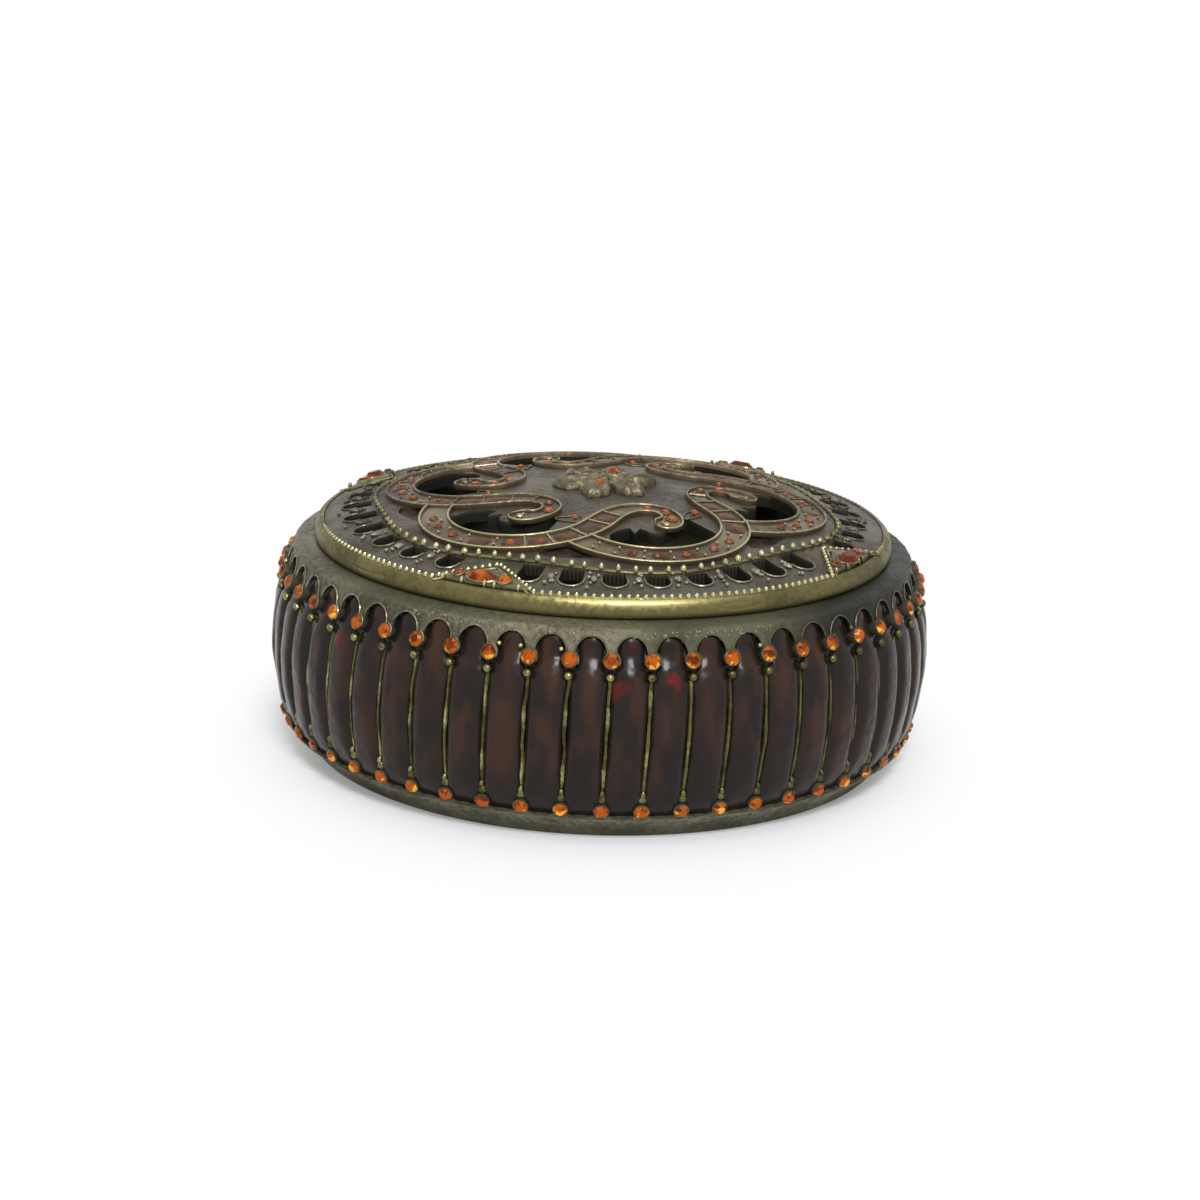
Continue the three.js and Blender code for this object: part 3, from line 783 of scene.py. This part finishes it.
def in_any(points, outlines):
    """Which points lie in one of the outlines: an odd number of its sides lies to their right."""
    x, y = points[:, :1], points[:, 1:]
    found = np.zeros(len(points), bool)
    for outline in outlines:
        x0, y0 = outline.T
        x1, y1 = np.roll(outline, -1, 0).T
        spans = (y0 > y) != (y1 > y)
        with np.errstate(divide="ignore", invalid="ignore"):
            found |= (spans & (x < x0 + (y - y0) * (x1 - x0) / (y1 - y0))).sum(1) % 2 == 1
    return found


comma = np.vstack([
    plan_arc(6.4, -17.9, 10.9, -119, -12, 26), [(14.6, -17.3), (12.4, -14.9)],
    plan_arc(6.4, -16.9, 4.8, 28, -52, 12), plan_arc(7.7, -20.4, 1.7, -25, -150, 10),
    [(5.4, -20.6), (4.6, -22.6), (3.8, -20.7), (2.3, -21.5), (0.9, -23.6)],
])
spandrel = np.array([
    (-9.4, -30.3), (-7.4, -31.7), (-4.6, -32.0), (-0.6, -31.7), (-3.4, -28.6), (-5.2, -27.3), (-7.4, -28.2),
])


def row_r(angle):
    """Radius of the bead row, which swings out six times, round the bends of the scrolls."""
    return 35.5 + 0.9 * np.cos(6 * (angle + np.radians(76)))


def arch_hole(angle):
    """An opening of the border at that angle: straight from the bead row out, then half round."""
    inner = row_r(angle) + 0.5
    end = plan_arc(OPENING_R, 0, OPENING_HALF, -90, 90, 12)
    outline = np.vstack([[(inner, -1.6)], end, [(inner, 1.6)]])
    return turn_plan(outline, angle)


panels = list(zip(CLUSTERS, CLUSTERS[1:] + [CLUSTERS[0] + 360]))
arch_angles = np.radians([
    np.linspace(low + FIRST_ARCH, high - LAST_ARCH, ARCHES_PER_PANEL) for low, high in panels
])
between = ((arch_angles[:, 1:] + arch_angles[:, :-1]) / 2).ravel()
arch_angles = arch_angles.ravel()
holes = [turn_plan(comma, t) for t in TURNS] + [arch_hole(t) for t in arch_angles]
sinks = [turn_plan(rounded(spandrel, 0.6, loop=True), t) for t in TURNS]

# The plate is cut into triangles in plan, on rings of points between the sawn lines, and each of
# its two faces is then laid on the dome.
rim = circle(PLATE_R, 240)
mesh_rings = [circle(r, int(6 * r) + 6) for r in np.arange(MESH_STEP, PLATE_R - 1, MESH_STEP)]
inner_points = np.vstack(mesh_rings)
plan_loops = [rim] + holes + sinks
plan_points = np.vstack(plan_loops + [inner_points[~in_any(inner_points, holes + sinks)]])
starts = np.cumsum([0] + [len(loop) for loop in plan_loops])
borders = [
    (int(low + k), int(low + (k + 1) % (high - low)))
    for low, high in zip(starts, starts[1:]) for k in range(high - low)
]
found = delaunay_2d_cdt([Vector(p) for p in plan_points], borders, [], 0, 1e-5)
flat, triangles = np.array([tuple(v) for v in found[0]]), np.array(found[2])
triangles = triangles[~in_any(flat[triangles].mean(1), holes + sinks)]

top_face = on_dome(*flat.T, 0.0)
under_face = top_face - (0, 0, PLATE_T)
n = len(flat)
walls = []
for low, high in zip(starts, starts[1:]):
    ring = np.arange(low, high)
    after = np.roll(ring, -1)
    wall = np.stack([ring, after, n + after, n + ring], -1)
    is_rim = low == 0
    walls.append(wall[:, ::-1] if is_rim else wall)
corner, second, third = flat[triangles].transpose(1, 0, 2)
facing_down = np.cross(second - corner, third - corner) < 0
triangles[facing_down] = triangles[facing_down][:, ::-1]
plate_faces = [triangles, n + triangles[:, ::-1]] + walls
# The top face is plain patina; the underside and the sawn walls are painted black as shade.
plate_patina_and_shade = np.concatenate([np.full(n, 0.12), np.full(n, PAINTED_SHADE_RUB)])
plate = closed(np.vstack([top_face, under_face]), plate_faces, plate_patina_and_shade)
patina = old_metal("dark_patina", PATINA, 0.42, 0.05)
make_piece("pierced_plate", [plate], patina, "lid", ["lid_plate"])


# Brown enamel: laid level into the sunk triangles of the plate, a little below its top. A lighter
# kind of it lies in pillows in the cells of the scrolls.
CELL_DARK = (62, 43, 28)
CELL_LIGHT = (94, 64, 40)
SUNK_DARK = (44, 36, 31)
SUNK_LIGHT = (70, 56, 48)

pans = [stacked(np.stack([on_dome(*sink.T, up) for up in (-1.4, -0.5)])) for sink in sinks]
brown_enamel, place = new_finish("brown_enamel", {"Specular IOR Level": 0.1, "Roughness": 0.34})
depth = clouds(place, 0.5, 2.0)
sunk = depth.between(0.35, 0.65).pick(colour(SUNK_DARK), colour(SUNK_LIGHT))
raised = depth.between(0.35, 0.65).pick(colour(CELL_DARK), colour(CELL_LIGHT))
feed(brown_enamel, "Base Color", mark(place).pick(sunk, raised))
roughen(brown_enamel, place, 1.5, 1.0, 0.06)
make_piece("spandrel_enamel", pans, brown_enamel, "lid")


# Rim band: a plain half-round brass band round the lid, painted bright along the front of its upper
# edge as a highlight and darker below as shade. Two long almond marks are scratched in it.
BAND = [
    (43.1, 31.88), (44.1, 31.9), (44.4, 32.25), (44.45, 33.0), (44.35, 33.8), (44.1, 34.4), (43.7, 34.68),
    (43.1, 34.7),
]
ALMONDS = [(-143.0, 6.5, 0.35), (-64.0, 3.2, 0.5)]  # place in degrees, half length and half width
ALMOND_Z = 33.45
ALMOND_LINE = 0.13
BAND_BRASS = [(113, 105, 69), (92, 85, 55), (190, 178, 116)]

# Each almond is two parabolas about its height, and their line is pressed in by a bell curve.
band_rings = turned(rounded(BAND, 0.4, loop=True), 900)
angle = np.degrees(np.arctan2(band_rings[..., 1], band_rings[..., 0]))
cut = np.zeros(angle.shape)
for middle, half_length, half_width in ALMONDS:
    rise = half_width * (1 - (np.radians(angle - middle) * LID_R / half_length) ** 2)
    off = np.abs(np.abs(band_rings[..., 2] - ALMOND_Z) - rise) + 5 * (rise < -0.05)
    cut += np.exp(-((off / ALMOND_LINE) ** 2)) * (band_rings[..., 2] > 32.8)
band_rings[..., :2] *= 1 - 0.1 / LID_R * cut[..., None]
# Painted light: a highlight at the front, and a fall from the bright upper edge to the dark lower edge. The
# scratched marks are darker.
front_painted_highlight = 0.12 + 0.7 * np.exp(-(((angle + 85) / 18) ** 2))
band_light_and_marks = front_painted_highlight * np.interp(band_rings[..., 2], [32.6, 33.6, 34.4], [0.1, 0.5, 1.0]) - 0.5 * cut
band_brass = old_metal("band_brass", BAND_BRASS, 0.42, 0.01)
band = endless(band_rings, np.maximum(band_light_and_marks, -0.3))
make_piece("rim_band_brass", [band], band_brass, "lid", ["rim_band"])


# Locating flange: a short bronze tube under the lid, which goes down into the mouth of the box
# and keeps the lid in the middle.
FLANGE = [(40.6, 28.6), (41.4, 28.6), (41.4, 33.1), (40.6, 33.1)]

flange = endless(turned(rounded(FLANGE, 0.15, loop=True), 144), 0.3)
make_piece("lid_flange", [flange], bronze, "lid", ["locating_flange"])


# Scrolls: six S-shaped arms cast in one with their edge wires. Each comes out from under the one
# before it, is a long C that eases into a small hook, and holds stones, bead pairs and enamel.
SCROLL_START = (-25.3, -14.5)
TAIL, C_LENGTH, EASE, HOOK = 4.4, 33.4, 13.0, 9.2
C_CURVE, HOOK_CURVE = 1 / 13.0, -1 / 3.65
ARM_LENGTH = C_LENGTH + EASE + HOOK
ARM_HALF = 2.3
EDGE_WIRE = 0.19
EDGE_UP = 0.62
TROUGH_UP = 0.36
SCROLL_BRASS = [(121, 108, 84), (89, 76, 62), (172, 163, 124)]

# The line bends evenly along the C and passes steadily into the bend of the hook. The bend is
# summed along it to a heading, and the heading to a place.
fine_s = np.linspace(-TAIL, ARM_LENGTH, 1600)
bend = C_CURVE + (HOOK_CURVE - C_CURVE) * np.clip((fine_s - C_LENGTH) / EASE, 0, 1)


def summed(rates, at_start):
    """The running sum of the rates along the arm, moved to be at_start where s is 0."""
    total = np.concatenate([[0], np.cumsum(rates * (fine_s[1] - fine_s[0]))])
    return total + (at_start - np.interp(0, fine_s, total))


fine_heading = summed((bend[1:] + bend[:-1]) / 2, np.radians(-90))
fine_x = summed(np.cos(fine_heading)[:-1], SCROLL_START[0])
fine_y = summed(np.sin(fine_heading)[:-1], SCROLL_START[1])


def arm_half(s):
    """Half width of an arm: it narrows before the hook, swells to a ball and has a round end."""
    t = np.clip((s / ARM_LENGTH - 0.62) / 0.23, 0, 1)
    width = ARM_HALF * (1 - 0.33 * t * t * (3 - 2 * t))
    width = width * (1 + 0.45 * np.exp(-(((s - ARM_LENGTH + 2.0) / 2.2) ** 2)))
    to_end = np.clip((ARM_LENGTH - s) / width, 0, 1)
    return width * np.sqrt(np.clip(1 - (1 - to_end) ** 2, 0.001, 1))


def on_arm(s, side, up):
    """A point at s along the first arm, to the left of its centre line by side, up off the dome."""
    heading = np.interp(s, fine_s, fine_heading)
    x = np.interp(s, fine_s, fine_x) - side * np.sin(heading)
    y = np.interp(s, fine_s, fine_y) + side * np.cos(heading)
    return on_dome(x, y, up)


def arm_body():
    """The arm's section carried along its line: a round wire on each edge and a low trough."""
    near_end = 0.5 * ARM_HALF * (1 - np.cos(np.linspace(0, np.pi / 2, 7)))[:-1] + 0.01
    s = np.concatenate([np.linspace(-TAIL, ARM_LENGTH - 1.2, 120), ARM_LENGTH - near_end[::-1]])[:, None]
    half = arm_half(s)
    wire_r = np.minimum(EDGE_WIRE, half / 2.3)
    over = np.linspace(np.pi, 0.1, 6)
    left = -half + wire_r + wire_r * np.cos(over)
    left_up = EDGE_UP + 0 * half + wire_r * np.sin(over)
    inner = -half + 2 * wire_r
    floor_side = inner * np.array([0.98, 0.5, 0.0])
    floor_up = TROUGH_UP + np.array([0.0, 0.06, 0.08]) + 0 * inner
    foot_up = 0 * half + 0.02
    side = np.concatenate([-half, left, floor_side, -floor_side[:, 1::-1], -left[:, ::-1], half], 1)
    up = np.concatenate([foot_up, left_up, floor_up, floor_up[:, 1::-1], left_up[:, ::-1], foot_up], 1)
    rub_and_painted_light = np.clip((up - EDGE_UP) * 6, 0.0, 0.7)
    return stacked(on_arm(s, side, up), rub_and_painted_light)


def cell(start, end):
    """A pillow of enamel between two cross wires, crowned along and across the arm."""
    t = np.linspace(-1, 1, 9)[:, None]
    s = (start + end) / 2 + t * (end - start) / 2
    fade = np.sqrt(1 - np.abs(t) ** 4 * 0.96)
    width = (arm_half(s) - 0.8) * fade
    a = 2 * np.pi * np.arange(10) / 10
    return stacked(on_arm(s, width * np.cos(a), TROUGH_UP + 0.05 + 0.22 * fade * np.sin(a)), 1.0)


def cross_wire(s):
    """A thin wire across the arm, which dips a little in the middle."""
    reach = arm_half(s) - 0.55
    side = np.linspace(-reach, reach, 7)
    return wire(on_arm(s, side, EDGE_UP - 0.06 * np.cos(side / reach)), 0.14, UP, 6, rub_and_painted_light=0.6)


def set_stone(s, radius):
    """A cut stone and its thin cup, at s along the middle of the arm."""
    heading = np.interp(s, fine_s, fine_heading)
    place = seat(on_arm(s, 0.0, TROUGH_UP + 0.12), np.array([np.cos(heading), np.sin(heading), 0]))
    setting = radius + np.array([-0.05, 0.0, 0.1, 0.12, 0.0])
    setting = endless(turned(np.column_stack([setting, [0.08, 0.16, 0.1, -0.2, -0.2]]), 10), 0.2)
    return posed(gem(circle(radius, 8), 0.36), *place), posed(setting, *place)


def bead_pair(s, side):
    """Two small beads abreast, so far to the left and right of the arm's middle."""
    spots = on_arm(s, np.array([-side, side]), TROUGH_UP + 0.22)
    return posed(bead(0.24, 0.24, 0.24, 7, 4), spots, UP, BACK)


# Where things are along the two kinds of arm: stones with their radius, pairs of beads with their
# distance from the middle, enamel cells from one end to the other, and cross wires.
ARM_KINDS = [
    {
        "stones": [
            (1.5, 0.6), (5.0, 0.6), (9.6, 0.66), (19.4, 0.66), (23.6, 0.66), (45.4, 0.6), (48.4, 0.78),
            (51.4, 0.85),
        ],
        "pairs": [(3.2, 0.95), (7.4, 0.95), (12.2, 0.95), (17.2, 0.95), (53.9, 0.5)],
        "cells": [(13.0, 16.5), (18.0, 21.2), (21.9, 24.9), (25.7, 29.6), (30.5, 34.4), (35.4, 38.6)],
        "crosses": [21.5, 25.3, 30.0, 34.9, 39.0],
    },
    {
        "stones": [
            (4.6, 0.62), (8.2, 0.62), (12.6, 0.66), (17.6, 0.66), (22.0, 0.66), (27.6, 0.62), (45.4, 0.6),
            (49.0, 0.8),
        ],
        "pairs": [
            (-1.0, 0.8), (2.4, 0.95), (6.4, 0.95), (10.4, 0.95), (15.1, 0.95), (19.8, 0.95), (24.8, 0.95),
            (53.6, 0.5),
        ],
        "cells": [(8.6, 9.9), (13.2, 14.6), (25.6, 29.6), (30.6, 34.2), (35.0, 38.6)],
        "crosses": [30.2, 34.6, 39.0, 42.4],
    },
]
scroll_brass = old_metal("scroll_brass", SCROLL_BRASS, 0.34)
scroll_shape = arm_body()
for k, turn in enumerate(TURNS):
    kind = ARM_KINDS[k % 2]
    stones, cups = zip(*(set_stone(*at) for at in kind["stones"]))
    beads = [bead_pair(*at) for at in kind["pairs"]]
    tip = posed(bead(0.6, 0.6, 0.45, 12, 7, 0.7), on_arm(ARM_LENGTH - 1.7, 0.3, 0.5), UP, BACK)
    metal = [scroll_shape, tip, *cups, *beads] + [cross_wire(s) for s in kind["crosses"]]
    metal = [around(p, [turn]) for p in metal]
    # The arms are painted brighter towards the front as light and duller towards the back.
    metal = [(p, faces, rub_and_painted_light * np.interp(p[:, 1], [-26, 0], [1.15, 0.55])) for p, faces, rub_and_painted_light in metal]
    make_piece(f"scroll_arm_{k + 1}", metal, scroll_brass, "lid", [f"scroll_{k + 1}"])
    make_stones(f"arm_stones_{k + 1}", [around(p, [turn]) for p in stones], "lid")
    cells = [around(cell(*ends), [turn]) for ends in kind["cells"]]
    make_piece(f"arm_cells_{k + 1}", cells, brown_enamel, "lid")


# Flower: six short crumpled petals in the middle of the lid, cast in dull bronze with rubbed
# edges, and two small stones that look up at the front.
FLOWER_R = 8.0
FLOWER_NOTCH = 4.9
FLOWER_STONES = [("flower_stone_front", -0.9, -4.4, 0.7), ("flower_stone_back", 1.0, 2.2, 1.05)]
FLOWER_UP = 1.5
FLOWER_BRONZE = [(114, 105, 84), (84, 77, 62), (160, 151, 124)]

# A petal reaches out by a power of a cosine, with a ragged edge, and is domed, with three crossed
# waves over it.
a = 2 * np.pi * np.arange(240) / 240
petal = np.abs(np.cos(3 * a - np.radians(45)))
ragged = petal**1.15 + 0.07 * np.sin(17 * a + 2) + 0.05 * np.sin(29 * a)
reach = FLOWER_NOTCH + (FLOWER_R - FLOWER_NOTCH) * ragged
f = np.concatenate([np.linspace(0.04, 0.95, 22), [1.0, 1.0]])[:, None]
crumple = 0.13 * np.sin(9 * a + 11 * f) + 0.1 * np.sin(16 * a - 15 * f + 1) + 0.07 * np.sin(31 * a + 23 * f)
swell = 0.5 + 1.15 * np.sqrt(np.clip(1 - f**4, 0, 1)) - 0.7 * (1 - petal) * f + 1.3 * crumple * np.sqrt(f)
swell[-1] = 0.05
flower_bronze = old_metal("flower_bronze", FLOWER_BRONZE, 0.44, 0.1)
flower_rub = np.clip(0.2 + 1.8 * crumple, 0, 0.8)
flower = stacked(round_dome(f * reach, a, swell), flower_rub)
make_piece("flower", [flower], flower_bronze, "lid", ["centre_flower"])
for name, x, y, radius in FLOWER_STONES:
    facing, up = unit(np.array([0, -0.75, 1])), unit(np.array([0, 1, 0.75]))
    cut_stone = posed(gem(circle(radius, 8), 0.5), on_dome(x, y, FLOWER_UP), facing, up)
    make_stones(name + "_cut", [cut_stone], "lid", [name])


# Junction stones: a small amber stone in the throat between each two scrolls, inside a loop of
# thin brass wire that is drawn out to a point on one side.
JUNCTION = (-4.25, -18.0)
JUNCTION_GEM_R = 0.52
LOOP_R = 1.15

spot, normal = on_dome(*JUNCTION, 0.35), dome_normal(*np.array(JUNCTION))
junction_gem = posed(gem(circle(JUNCTION_GEM_R, 8), 0.35), spot, normal, BACK)
loop_plan = circle(LOOP_R, 24) + JUNCTION
loop_plan[:, 0] -= 1.6 * np.clip(JUNCTION[0] - loop_plan[:, 0], 0, None) ** 2 / LOOP_R
loop = wire(on_dome(*loop_plan.T, 0.12), 0.11, UP, hoop=True, rub_and_painted_light=0.15)
make_piece("junction_loops", [around(loop, TURNS)], scroll_brass, "lid")
for k, turn in enumerate(TURNS):
    make_stones(f"junction_gem_{k + 1}", [around(junction_gem, [turn])], "lid", [f"junction_stone_{k + 1}"])


# Bead row: 96 tall brass beads soldered on a wire round the scrolls. Those at the front stand
# higher and are painted pale as light, and those at the back are low and painted dull as shade.
BEADS = 96
BEAD_BRASS = [(128, 122, 88), (96, 90, 66), (200, 195, 148)]


def front_painted_light(angle):
    """How bright the small beads of the lid are painted as lit: 1 at the front, 0 from the sides back."""
    return np.clip(0.1 - 1.4 * np.sin(angle), 0, 1)


a = 2 * np.pi * np.arange(240) / 240
row_parts = [wire(round_dome(row_r(a), a, 0.1), 0.28, UP, hoop=True, rub_and_painted_light=0.0)]
for angle in 2 * np.pi * (np.arange(BEADS) + rng.uniform(-0.12, 0.12, BEADS)) / BEADS:
    wear_and_light = front_painted_light(angle)
    width, height = rng.uniform(0.38, 0.55), rng.uniform(0.62, 0.8) * (0.5 + 0.5 * wear_and_light)
    tall = bead(width, width, height, 8, 5, 0.7 * wear_and_light - 0.1)
    row_parts.append(posed(tall, round_dome(row_r(angle), angle, 0.2 + 0.3 * wear_and_light), UP, BACK))
bead_brass = old_metal("bead_brass", BEAD_BRASS, 0.26)
make_piece("bead_row_beads", row_parts, bead_brass, "lid", ["bead_row"])


# Border: a thin wire round the outer end of each arched opening, upright reeds on its inner cut
# wall, and between each two openings a small bud among five loose grains, in the plate's metal.
HOOD_R = 1.9
BUD_R = 38.3
LOOSE_GRAINS = 5
REEDS = (-1.2, -0.6, 0.0, 0.6, 1.2)  # where they stand across an opening

# The hood wires, buds and grains are painted paler towards the front as light.
hood_path = on_dome(*plan_arc(OPENING_R, 0, HOOD_R, -105, 105, 18).T, 0.1)
border_parts = [
    around(wire(hood_path, 0.16, UP, 6, rub_and_painted_light=0.55 * front_painted_light(a)), [a]) for a in arch_angles
]
for angle in between:
    swell, wear_and_light = rng.uniform(0.8, 1.2, 3), front_painted_light(angle)
    bud = bead(0.5 * swell[0], 1.0 * swell[1], 0.45 * swell[2], 8, 7, 0.7 * wear_and_light)
    parts = [posed(bud, on_dome(BUD_R, 0.2 * rng.normal(), 0.1), UP, OUT)]
    for x, y, size in rng.uniform((36.6, -0.8, 0.2), (41.0, 0.8, 0.36), (LOOSE_GRAINS, 3)):
        grain = bead(size, size, size, 7, 4, 0.85 * wear_and_light + 0.05)
        parts.append(posed(grain, on_dome(x, y, 0.15), UP, OUT))
    border_parts += [around(part, [angle]) for part in parts]
for angle in arch_angles:
    inner = row_r(angle) + 0.55
    for side in REEDS:
        reed = wire([(inner, side, dome_z(inner) - fall) for fall in (0.05, 1.7)], 0.2, OUT, 6, rub_and_painted_light=-0.2)
        border_parts.append(around(reed, [angle]))
make_piece("border_wirework", border_parts, patina, "lid")


# Grain wires: fine beaded wire along the rim of each panel, and a slanting pair of rails, one
# beaded and one smooth, from the rim in to the middle of each cluster.
GRAIN_R = 43.3
GRAIN_PITCH = 1.18
GRAIN_SIZE = 0.33
RAIL_OUTER_R, RAIL_INNER_R = 43.4, 37.4


def rail(start, end, shift):
    """Ten plan points from one polar (r, degrees) place to the other, moved sideways by shift."""
    ends = np.array([(r * np.cos(np.radians(d)), r * np.sin(np.radians(d))) for r, d in (start, end)])
    along = unit(ends[1] - ends[0])
    near, far = ends + shift * np.array([-along[1], along[0]])
    return (near + np.linspace(0, 1, 10)[:, None] * (far - near)).T


for i, (start, end) in enumerate(panels):
    low, high = start + CLUSTER_HALF, end - CLUSTER_HALF
    a = np.radians(np.linspace(low, high, int(np.radians(high - low) * GRAIN_R / GRAIN_PITCH)))
    spots = [round_dome(GRAIN_R, a, 0.32)]
    parts = [wire(round_dome(GRAIN_R, a, 0.08), 0.24, UP, rub_and_painted_light=0.0)]
    for rim_end, inner_end, side in ((low, start + 0.5, -1), (high, end - 0.5, 1)):
        ends = (RAIL_OUTER_R, rim_end), (RAIL_INNER_R, inner_end)
        spots.append(on_dome(*rail(*ends, 0.0), 0.3))
        parts.append(wire(on_dome(*rail(*ends, -side * 0.7), 0.2), 0.2, UP, rub_and_painted_light=0.4))
    # Grains towards the front stand taller and are painted paler as light.
    for spot in np.vstack(spots):
        wear_and_light = front_painted_light(np.arctan2(spot[1], spot[0]))
        size = GRAIN_SIZE * (0.8 + 0.2 * wear_and_light)
        grain = bead(size, size, size * (0.6 + 0.7 * wear_and_light), 7, 4, 0.9 * wear_and_light + 0.05)
        parts.append(posed(grain, spot - (0, 0, 0.12 * (1 - wear_and_light)), UP, BACK))
    make_piece(f"grain_and_rails_{i + 1}", parts, bead_brass, "lid", [f"grain_wire_{i + 1}"])


# Clusters: four raised settings on the rim, bowed with it and drawn up to a blunt point inside,
# each with a large long stone between a small and a medium round one, held by short prongs.
CLUSTER_R = 41.6
PLINTH_OUTER_R, PLINTH_INNER_R, PLINTH_POINT = 42.9, 42.0, 3.4
MARQUISE = [
    (2.5, 0.0), (1.6, 1.05), (0.0, 1.45), (-1.6, 1.05), (-2.5, 0.0), (-1.6, -1.05), (0.0, -1.45),
    (1.6, -1.05),
]
CLUSTER_ROUNDS = [(-5.9, 0.8), (3.9, 1.15)]  # degrees from the cluster's middle, and the radius
MARQUISE_TURN = -0.8  # degrees
CLUSTER_PAINTED_DIMMING = [0.12, 0.42, 0.6, 0.6]  # how much darker each cluster's stones and prongs are painted, as shade
STONE_UP = 0.75
PRONGS = (-8.4, -4.2, 0.6, 2.6, 7.4)  # degrees from the cluster's middle


def ring_seat(degrees, up):
    """A place on the clusters' ring at that angle, with the dome's normal and the way out."""
    a = np.radians(degrees)
    return seat(round_dome(CLUSTER_R, a, up), np.array([np.cos(a), np.sin(a), 0]))


# The inner edge of a plinth runs straight in to its point, and its height falls off to both ends
# with the square of the distance.
for i, middle in enumerate(CLUSTERS):
    prong = bead(0.3, 0.62, 0.35, 8, 5, 0.85 - 1.3 * CLUSTER_PAINTED_DIMMING[i])
    t = np.linspace(-1, 1, 25)[:, None]
    inner = PLINTH_INNER_R - PLINTH_POINT * (1 - np.abs(t))
    share = np.array([0.0, 0.04, 0.15, 0.5, 0.85, 0.96, 1.0])
    rise = np.array([0.1, 0.5, 0.62, 0.66, 0.62, 0.5, 0.1]) * (1 - 0.5 * t * t)
    r = inner + (PLINTH_OUTER_R - inner) * share
    a = np.radians(middle + t * (CLUSTER_HALF - 0.8))
    plinth = stacked(round_dome(r, a, rise), -0.5)
    spot, normal, out = ring_seat(middle + MARQUISE_TURN, STONE_UP)
    long_stone = posed(gem(np.array(MARQUISE), 0.75), spot, normal, out)
    make_stones(f"marquise_cut_{i + 1}", [long_stone], "lid", [f"marquise_{i + 1}"], CLUSTER_PAINTED_DIMMING[i])
    collar = np.column_stack([np.array(MARQUISE) * 1.07, np.zeros(8)])
    collar = collar @ np.array([np.cross(out, normal), out, normal]) + spot - normal * 0.1
    metal = [plinth, wire(rounded(collar, 0.6, loop=True), 0.17, UP, 6, hoop=True, rub_and_painted_light=0.3)]
    stones = []
    for turn_on, radius in CLUSTER_ROUNDS:
        place = ring_seat(middle + turn_on, STONE_UP - 0.1)
        setting = radius + np.array([-0.05, 0.0, 0.15, 0.2, 0.0])
        setting = endless(turned(np.column_stack([setting, [0.1, 0.2, 0.1, -0.6, -0.6]]), 14), 0.3)
        stones.append(posed(gem(circle(radius, 8), 0.5), *place))
        metal.append(posed(setting, *place))
    for turn_on in PRONGS:
        a = np.radians(middle + turn_on)
        away = (np.cos(a), np.sin(a), 0)
        metal.append(posed(prong, round_dome(PLINTH_OUTER_R, a, 0.45), away, UP))
    make_piece(f"cluster_mount_{i + 1}", metal, bead_brass, "lid", [f"cluster_setting_{i + 1}"])
    make_stones(f"cluster_rounds_{i + 1}", stones, "lid", painted_dimming=CLUSTER_PAINTED_DIMMING[i] - 0.12)
